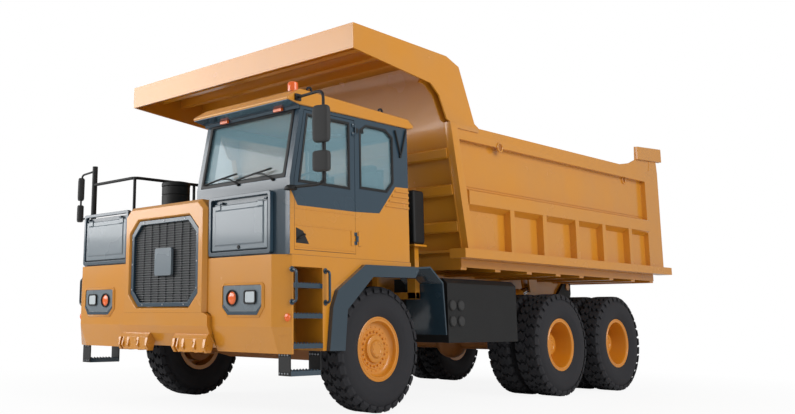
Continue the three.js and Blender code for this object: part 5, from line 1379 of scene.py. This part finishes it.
def floor_material() -> bpy.types.Material:
    """A pale floor that goes over to plain white away from the truck.

    Returns:
        A material that mixes a matt surface with a white glow, which only the camera sees; the share of glow
        rises with the distance from the middle.
    """
    pale = bpy.data.materials.new("pale_floor")
    pale.use_nodes = True
    tree = pale.node_tree
    shader = tree.nodes["Principled BSDF"]
    shader.inputs["Base Color"].default_value = linear("#f0f0f0")
    shader.inputs["Roughness"].default_value = 0.9
    place = add_node(tree, "ShaderNodeTexCoord").outputs["Object"]
    far = add_node(tree, "ShaderNodeVectorMath", {"operation": "LENGTH"}, in0=place)
    share = add_node(
        tree, "ShaderNodeMapRange", {"From Min": 3.0, "From Max": 8.5, "To Min": 0.9, "To Max": 1.0},
        Value=far.outputs["Value"],
    )
    seen = add_node(tree, "ShaderNodeLightPath")
    both = add_node(tree, "ShaderNodeMath", {"operation": "MULTIPLY"}, in0=share.outputs["Result"],
                    in1=seen.outputs["Is Camera Ray"])
    glow = add_node(tree, "ShaderNodeEmission", {"Color": (1.0, 1.0, 1.0, 1.0), "Strength": 1.0})
    mixed = add_node(tree, "ShaderNodeMixShader", None, in0=both.outputs[0], in1=shader.outputs[0],
                     in2=glow.outputs[0])
    tree.links.new(mixed.outputs[0], tree.nodes["Material Output"].inputs["Surface"])
    return pale


def stage() -> None:
    """Makes the pale floor, the soft lamps and the plain surroundings."""
    mesh, reach = bpy.data.meshes.new("floor"), 60.0
    corners = [(-reach, -reach, 0), (reach, -reach, 0), (reach, reach, 0), (-reach, reach, 0)]
    mesh.from_pydata(corners, [], [(0, 1, 2, 3)])
    floor = placed("floor", mesh)
    mesh.materials.append(floor_material())
    for lamp in LAMPS:
        lamp.build()
    world = bpy.data.worlds.new("studio")
    bpy.context.scene.world = world
    world.use_nodes = True
    tree = world.node_tree
    sky = tree.nodes["Background"]
    sky.inputs["Color"].default_value = (1.0, 1.0, 1.0, 1.0)
    path = add_node(tree, "ShaderNodeLightPath")
    seen = add_node(tree, "ShaderNodeMath", {"operation": "MAXIMUM"}, in0=path.outputs["Is Camera Ray"],
                    in1=path.outputs["Is Transmission Ray"])
    strength = add_node(tree, "ShaderNodeMapRange", {"To Min": FILL, "To Max": 1.0}, Value=seen.outputs[0])
    tree.links.new(strength.outputs["Result"], sky.inputs["Strength"])
    bpy.context.scene.view_settings.view_transform = "Standard"


PAINTED = {
    YELLOW: "dump_bed tailgate hoist_barrel_left hoist_barrel_right",
    SLATE: "deck",
    BLACK: "chassis_frame tip_bracket cab_stage engine drive_shaft side_tank_left side_tank_right",
    CAST_ORANGE: "front_axle middle_axle rear_axle bogie_springs knuckle_left knuckle_right tie_rod",
    PLASTIC: "dashboard",
    CHROME: "hoist_rod_left hoist_rod_right",
}
PANES = ["windscreen", "door_glass", "side_glass_left", "side_glass_right", "rear_glass"]


def main() -> None:
    """Builds the truck's sub-assemblies in order, then the stage."""
    for finish, nodes in PAINTED.items():
        for node in nodes.split():
            finer(node, finish)
    for node in PANES:
        frame["nodes"][node].data.materials.clear()
        frame["nodes"][node].data.materials.append(GLASS.material())
    for side, way in SIDES.items():
        Tyre(f"front_tyre_{side}").build()
        Rim(f"front_rim_{side}").build()
        for axle in ("middle", "rear"):
            Tyre(f"{axle}_outer_tyre_{side}").build()
            Tyre(f"{axle}_inner_tyre_{side}").build()
            Rim(f"{axle}_rim_{side}", twin=True).build()
        Corner(side, way).build()
    Nose().build()
    Cab().build()
    Seats().build()
    Mirrors().build()
    Fittings().build()
    stage()
    Viewpoint().build()


if __name__ == "__main__":
    main()
